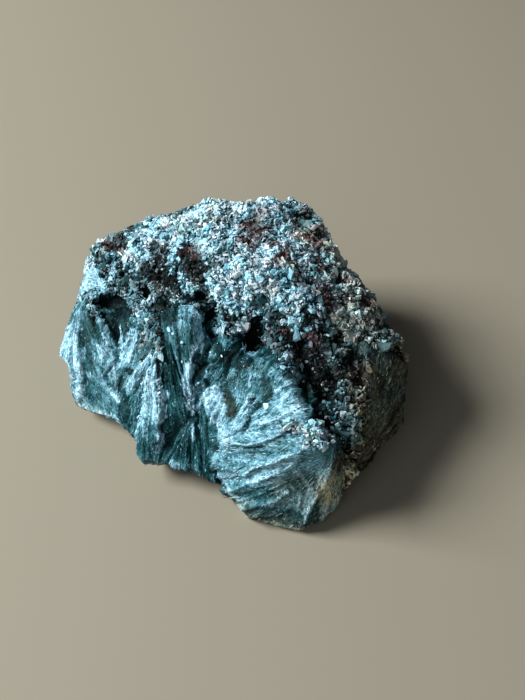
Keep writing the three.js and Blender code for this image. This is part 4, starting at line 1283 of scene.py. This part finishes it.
def scattered(count, weight, seed):
    """Places on the skin: triangles drawn by their area times the weight of their points, and a
    chance place inside each. Gives their three points, the points' shares in the place, and the
    generator that goes on drawing."""
    draw = np.random.default_rng(seed)
    a, b, c = (skin_points[skin_triangles[:, k]] for k in range(3))
    size = np.linalg.norm(np.cross(b - a, c - a), axis=1) * weight[skin_triangles].mean(axis=1)
    chosen = skin_triangles[draw.choice(len(size), count, p=size / size.sum())]
    u, v = draw.random(count), draw.random(count)
    flip = u + v > 1
    u, v = np.where(flip, 1 - u, u), np.where(flip, 1 - v, v)
    return chosen, np.stack([1 - u - v, u, v], axis=1), draw


def at_places(values, chosen, share):
    """A value of the skin's points, at scattered places."""
    return np.einsum("nk,nk...->n...", share, values[chosen])


def plates(corners, centres, facing, along, length, width, draw):
    """Thin slabs, long in the direction along. Corner k of n lies at angle 2πk/n, shifted a little,
    at half the slab's length and width times a chance stretch. A slab is a fifth as thick as it is
    wide, and its upper ring is the lower one shrunk. No corner goes below the floor."""
    count = len(centres)
    first = unit(along - facing * np.sum(along * facing, axis=1)[:, None])
    second = np.cross(facing, first)
    shift = draw.uniform(-CORNER_SHIFT, CORNER_SHIFT, (count, corners))
    turn = 2 * np.pi * (np.arange(corners) + shift) / corners
    reach = draw.uniform(*CORNER_REACH, (count, corners)) / 2
    x = (np.cos(turn) * reach * length[:, None])[..., None]
    y = (np.sin(turn) * reach * width[:, None])[..., None]
    ring = x * first[:, None] + y * second[:, None]
    lift = (facing * HALF_THICKNESS * width[:, None])[:, None]
    points = np.concatenate([ring * UPPER_SHARE + lift, ring - lift], axis=1) + centres[:, None]
    points[..., 2] = np.maximum(points[..., 2], 0)
    offset = np.arange(count)[:, None] * 2 * corners
    upper = np.arange(corners)
    lower = upper[::-1] + corners
    after = np.roll(upper, -1)
    sides = np.stack([upper, upper + corners, after + corners, after], axis=1)
    walls = (sides[None] + offset[:, None]).reshape(-1, 4)
    return points.reshape(-1, 3), [upper + offset, lower + offset, walls]


def plate_piece(name, shape, look, material):
    """A piece of plates. Each has one colour, from its tone, rust, olive and its share of wearing
    and painted warm bounce light.
    """
    points, faces = shape
    piece = new_piece(name, points, faces, material, False)
    colours = chlorite_colour(*look)
    give(piece, "tint", "FLOAT_COLOR", np.repeat(colours, len(points) // len(colours), axis=0))
    return piece


# %% Flakes of the crust
CLUMP_MM = 1.9
CLUMP_LEAN = 1.0
CLUMP_TONE = 0.34
FLAKE_RUBBLE_LIGHT_AND_SHADE = 0.55
RUST_SPREAD = (0.7, 1.6)
GLINT_TONE = 0.35
CRUST_GLINTS = 0.08
FLAKE_FOOT_MM = (0.8, 2.5)
FLAKE_HOLLOWS_MM = (-0.75, 0.1)
PIT_BARENESS = 0.95
FLAKE_SPREAD = 0.35
FLAKE_LENGTHS = (1.0, 1.8)
FLAKE_SINK_MM = -0.10


def glints(count, share, draw):
    """That share of the plates gets a painted glint: a highlight painted into its tone, which is
    paler by one shift.
    """
    return GLINT_TONE * (draw.random(count) < share)


def crust_flakes(name, count, width_mm, lean, lift_mm, tone_shift, tone_spread, seed):
    """Flakes scattered over the crust, with few at the foot, in hollows and in pits. Each leans by
    chance and with its clump, and it is paler the higher it lies in the rubble: painted light on the
    high flakes and painted shade on the low ones. A share of them get painted glints."""
    bare = (1 - covered) * smooth_step(*FLAKE_FOOT_MM, skin_points[:, 2])
    bare = bare * (1 - PIT_BARENESS * in_pit) * smooth_step(*FLAKE_HOLLOWS_MM, crust_rubble)
    chosen, share, draw = scattered(count, bare, seed)
    centres, out = at_places(skin_points, chosen, share), unit(at_places(skin_out, chosen, share))
    clump, _ = nearest_grain(centres, CLUMP_MM, 91)
    facing = unit(out + CLUMP_LEAN * grain_lean(clump, 91) + draw.normal(scale=lean, size=(count, 3)))
    along = draw.normal(size=(count, 3))
    width = width_mm * np.exp(draw.normal(scale=FLAKE_SPREAD, size=count))
    length = width * draw.uniform(*FLAKE_LENGTHS, count)
    centres = centres + out * draw.uniform(FLAKE_SINK_MM, lift_mm, count)[:, None]
    shape = plates(6, centres, facing, along, length, width, draw)
    tone, rust, olive, wear_and_bounce = (at_places(values, chosen, share) for values in ROCK)
    tone = tone + tone_shift + CLUMP_TONE * (chance(*clump.T, 97) - 0.5)
    tone = tone + glints(count, CRUST_GLINTS, draw)
    tone = tone + FLAKE_RUBBLE_LIGHT_AND_SHADE * at_places(crust_rubble, chosen, share)
    tone = tone + draw.normal(scale=tone_spread, size=count)
    rust = rust * draw.uniform(*RUST_SPREAD, count)
    return plate_piece(name, shape, (tone, rust, olive, wear_and_bounce), flake_material)


# count, width, lean, lift, tone shift, tone spread and seed
crust_flakes("crust_flakes_large", 1600, 0.60, 0.30, 0.05, 0.00, 0.12, 101)
crust_flakes("crust_flakes_middle", 9000, 0.43, 0.50, 0.14, 0.00, 0.18, 102)
crust_flakes("crust_flakes_small", 9900, 0.29, 0.70, 0.20, 0.04, 0.26, 103)


# %% Scales of the feathers
FEATHER_GLINTS = 0.03
SCALE_FOOT_MM = (0.6, 1.6)
SCALE_ROOT = (0.02, 0.2)
SCALE_WANDER = 0.12
SCALE_LENGTH_SPREAD = 0.35
SCALE_WIDTH_SPREAD = 0.30
SCALE_LIFTS_MM = (-0.05, 0.03)
DARK_SPREAD = 0.35


def feather_scales(name, count, length_mm, width_mm, lean, tone_spread, seed):
    """Scales scattered over the feathers, with few at the foot, at the roots and in pits. Each lies
    along the fibres, which lead straight away from the feather's root, and leans only a little.
    Their tones differ less on dark rock."""
    weight = covered * smooth_step(*SCALE_FOOT_MM, skin_points[:, 2]) * (1 - in_pit)
    chosen, share, draw = scattered(count, weight * smooth_step(*SCALE_ROOT, run), seed)
    centres, out = at_places(skin_points, chosen, share), unit(at_places(skin_out, chosen, share))
    root = np.array([row[0] for row in FEATHERS])[feather[chosen[:, 0]]]
    along = unit(centres - root) + draw.normal(scale=SCALE_WANDER, size=(count, 3))
    facing = unit(out + draw.normal(scale=lean, size=(count, 3)))
    length = length_mm * np.exp(draw.normal(scale=SCALE_LENGTH_SPREAD, size=count))
    width = width_mm * np.exp(draw.normal(scale=SCALE_WIDTH_SPREAD, size=count))
    centres = centres + out * draw.uniform(*SCALE_LIFTS_MM, count)[:, None]
    shape = plates(4, centres, facing, along, length, width, draw)
    tone, rust, olive, wear_and_bounce = (at_places(values, chosen, share) for values in ROCK)
    uneven = DARK_SPREAD + (1 - DARK_SPREAD) * np.clip(tone, 0, 1)
    tone = tone + tone_spread * uneven * draw.normal(size=count)
    tone = tone + glints(count, FEATHER_GLINTS, draw)
    return plate_piece(name, shape, (tone, rust, olive, wear_and_bounce), scale_material)


# count, length, width, lean, tone spread and seed
feather_scales("feather_scales_long", 3600, 1.10, 0.16, 0.10, 0.26, 201)
feather_scales("feather_scales_short", 12000, 0.45, 0.13, 0.16, 0.46, 202)
feather_scales("feather_scales_fine", 14000, 0.24, 0.12, 0.24, 0.60, 203)

# %% [markdown]
# ## Slivers along the broken edges
#
# Where a bundle of fibres broke off, its edge is a ragged pale row of fibre ends. The skin's own
# crest is too smooth for that, and hairs along a curve would have to be made a mesh before they
# export. So a row of plates, narrow and pale, follows each crest that has a pale side.

# %% Slivers along the crests
SLIVER_STEP_MM = 0.22
SLIVER_LENGTH_MM = 0.42
SLIVER_LENGTH_SPREAD = 0.3
SLIVER_WIDTH_MM = 0.13
SLIVER_WIDTH_SPREAD = 0.2
SLIVER_STRAY_MM = 0.10
SLIVER_WANDER = 0.12
SLIVER_LEAN = 0.15
SLIVER_LIFT_MM = 0.02
SLIVER_TONE = 0.12
SLIVER_TONE_SPREAD = 0.12
SLIVER_FROM_TONE = 0.20
SLIVER_ROCK_PALEST = 0.95


def along_paths(step):
    """Places every step along the crests that have a pale side, and the way each path runs there."""
    places, runs = [], []
    for path, _, _, tones in CRESTS:
        for start, end in zip(path[:-1], path[1:]):
            if max(tones) >= SLIVER_FROM_TONE:
                share = np.arange(0, 1, step / math.dist(start, end))[:, None]
                places.append(np.array(start) * (1 - share) + np.array(end) * share)
                runs.append(np.broadcast_to(np.subtract(end, start), (len(share), 3)))
    return np.concatenate(places), unit(np.concatenate(runs))


def nearest_on_skin(places):
    """The number of the skin's point that lies nearest to each place."""
    return np.array([np.argmin(np.sum((skin_points - place) ** 2, axis=1)) for place in places])


def crest_slivers(name, seed):
    """Thin pale slivers on the skin's points nearest to the crests, each leaning a little out of
    its path."""
    places, along = along_paths(SLIVER_STEP_MM)
    count = len(places)
    draw = np.random.default_rng(seed)
    nearest = nearest_on_skin(places + draw.normal(scale=SLIVER_STRAY_MM, size=(count, 3)))
    along = along + draw.normal(scale=SLIVER_WANDER, size=(count, 3))
    facing = unit(skin_out[nearest] + draw.normal(scale=SLIVER_LEAN, size=(count, 3)))
    length = SLIVER_LENGTH_MM * np.exp(draw.normal(scale=SLIVER_LENGTH_SPREAD, size=count))
    width = SLIVER_WIDTH_MM * np.exp(draw.normal(scale=SLIVER_WIDTH_SPREAD, size=count))
    centres = skin_points[nearest] + facing * SLIVER_LIFT_MM
    shape = plates(4, centres, facing, along, length, width, draw)
    tone = np.minimum(rock_tone[nearest], SLIVER_ROCK_PALEST) + SLIVER_TONE
    tone = tone + draw.normal(scale=SLIVER_TONE_SPREAD, size=count)
    look = (tone, rock_rust[nearest], rock_olive[nearest], rock_wear_and_bounce[nearest])
    return plate_piece(name, shape, look, scale_material)


crest_slivers("crest_slivers", 204)

# %% [markdown]
# ## Plates that stand out
#
# A few large plates and white glints show on their own. Chance would put them anywhere, so each place
# is listed. It lies on the nearest point of the skin, and it faces the way the rock faces there once
# the skin's small bumps are eased away.

# %% Single plates
# place, length, width, tone; the small plates with tones of 1.2 and more are painted glints,
# near-white highlights
SINGLE_PLATES = [
    ((4.8, -10.8, 13.6), 1.05, 1.00, 1.08),
    ((6.5, -8.0, 16.8), 0.90, 0.70, 1.05),
    ((9.6, -13.7, 14.1), 0.70, 0.50, 1.00),
    ((10.0, -14.5, 14.1), 0.90, 0.60, 1.05),
    ((10.3, -13.8, 13.7), 0.60, 0.50, 0.95),
    ((-6.6, -2.3, 16.7), 0.90, 0.55, 1.15),
    ((-6.1, -2.7, 16.6), 0.50, 0.40, 1.20),
    ((-5.0, -3.4, 16.0), 0.55, 0.40, 1.20),
    ((-5.2, -4.8, 13.8), 0.50, 0.22, 1.30),
    ((7.5, -8.0, 16.2), 0.40, 0.30, 1.30),
    ((6.3, -7.4, 17.4), 0.35, 0.30, 1.30),
    ((-0.5, -5.2, 15.3), 0.40, 0.25, 1.25),
    ((-2.0, -4.1, 14.8), 0.35, 0.25, 1.30),
    ((-2.3, -5.5, 13.1), 0.35, 0.25, 1.20),
    ((3.7, -3.7, 16.5), 0.40, 0.30, 1.25),
    ((10.9, -17.0, 6.5), 0.80, 0.45, 1.15),
    ((11.7, -17.1, 6.5), 0.60, 0.40, 1.05),
    ((-18.0, 8.6, 13.0), 1.10, 0.80, 1.05),
    ((-18.6, 7.4, 12.6), 0.90, 0.60, 1.00),
]
SINGLE_LIFT_MM = 0.12
SINGLE_EASE_ROUNDS = 12

places = np.array([row[0] for row in SINGLE_PLATES])
single_length, single_width, single_tone = np.array([row[1:] for row in SINGLE_PLATES]).T
nearest = nearest_on_skin(places)
single_out = unit(eased(skin_out, skin_edges, SINGLE_EASE_ROUNDS, FINE_EASE_SHARE)[nearest])
draw = np.random.default_rng(301)
shape = plates(
    6, skin_points[nearest] + single_out * SINGLE_LIFT_MM, single_out,
    draw.normal(size=single_out.shape), single_length, single_width, draw,
)
unstained = np.zeros((3, len(places)))
plate_piece("single_plates", shape, (single_tone, *unstained), flake_material)

# %% [markdown]
# ## Floor and light
#
# The chunk rests on a plain pale floor. The key light is a large panel at the upper left, as from a
# window, and a larger, weaker and cooler one stands in front, a little to the left. The world adds
# a little light from all round. A sun lamp would be simpler, but its hard shadows hide the relief.

# %% Floor
FLOOR_HALF = 1.5
FLOOR_COLOUR = (0.235, 0.210, 0.158)
FLOOR_ROUGHNESS = 0.75

floor_material, floor_tree = new_tree("pale_floor")
floor_shader = shader_of(floor_tree)
floor_shader.inputs["Base Color"].default_value = (*FLOOR_COLOUR, 1)
floor_shader.inputs["Roughness"].default_value = FLOOR_ROUGHNESS
floor_corners = [(x * FLOOR_HALF, y * FLOOR_HALF, 0) for x, y in ((-1, -1), (1, -1), (1, 1), (-1, 1))]
floor_mesh = bpy.data.meshes.new("floor")
floor_mesh.from_pydata(floor_corners, [], [(0, 1, 2, 3)])
floor_mesh.materials.append(floor_material)
added("floor", floor_mesh)
print("floor is", 2 * FLOOR_HALF, "m wide")


# %% Light
WORLD_COLOUR = (0.92, 0.96, 1.0, 1)
WORLD_STRENGTH = 0.07


def panel(name, place, size, watts, colour):
    """A square area light that faces the middle of the chunk's foot."""
    light = bpy.data.lights.new(name, "AREA")
    light.size = size
    light.energy = watts
    light.color = colour
    lamp = added(name, light)
    lamp.location = place
    lamp.rotation_euler = (-lamp.location).to_track_quat("-Z", "Y").to_euler()
    print(name, "light gives", watts, "W")


# place and width in metres, watts and colour
panel("window", (-0.40, 0.03, 0.36), 0.22, 6.2, (0.97, 1.0, 1.0))
panel("room", (-0.20, -0.42, 0.32), 0.5, 0.8, (0.90, 0.97, 1.0))
world = bpy.data.worlds.new("room light")
bpy.context.scene.world = world
world.use_nodes = True
background = world.node_tree.nodes["Background"]
background.inputs["Color"].default_value = WORLD_COLOUR
background.inputs["Strength"].default_value = WORLD_STRENGTH

# %% [markdown]
# ## Camera
#
# The camera looks down on the chunk's front at about 50 degrees. The view transform is Standard.
# The usual one turns the pale blue-green tones grey, and no base colour brings them back. The near
# clip is short, because the camera is only some 12 cm away.

# %% Camera
CAMERA_PLACE_MM = (4.2, -72.75, 98.5)
CAMERA_DOWN_DEG = 50.5
LENS_MM = 48.0

camera_data = bpy.data.cameras.new("camera")
camera_data.lens = LENS_MM
camera_data.clip_start = 0.005
camera = added("camera", camera_data)
camera.location = [x * MM for x in CAMERA_PLACE_MM]
camera.rotation_euler = (math.radians(90 - CAMERA_DOWN_DEG), 0, 0)
bpy.context.scene.camera = camera
bpy.context.scene.view_settings.view_transform = "Standard"
print("camera", round(math.hypot(*CAMERA_PLACE_MM)), "mm from the middle of the foot")
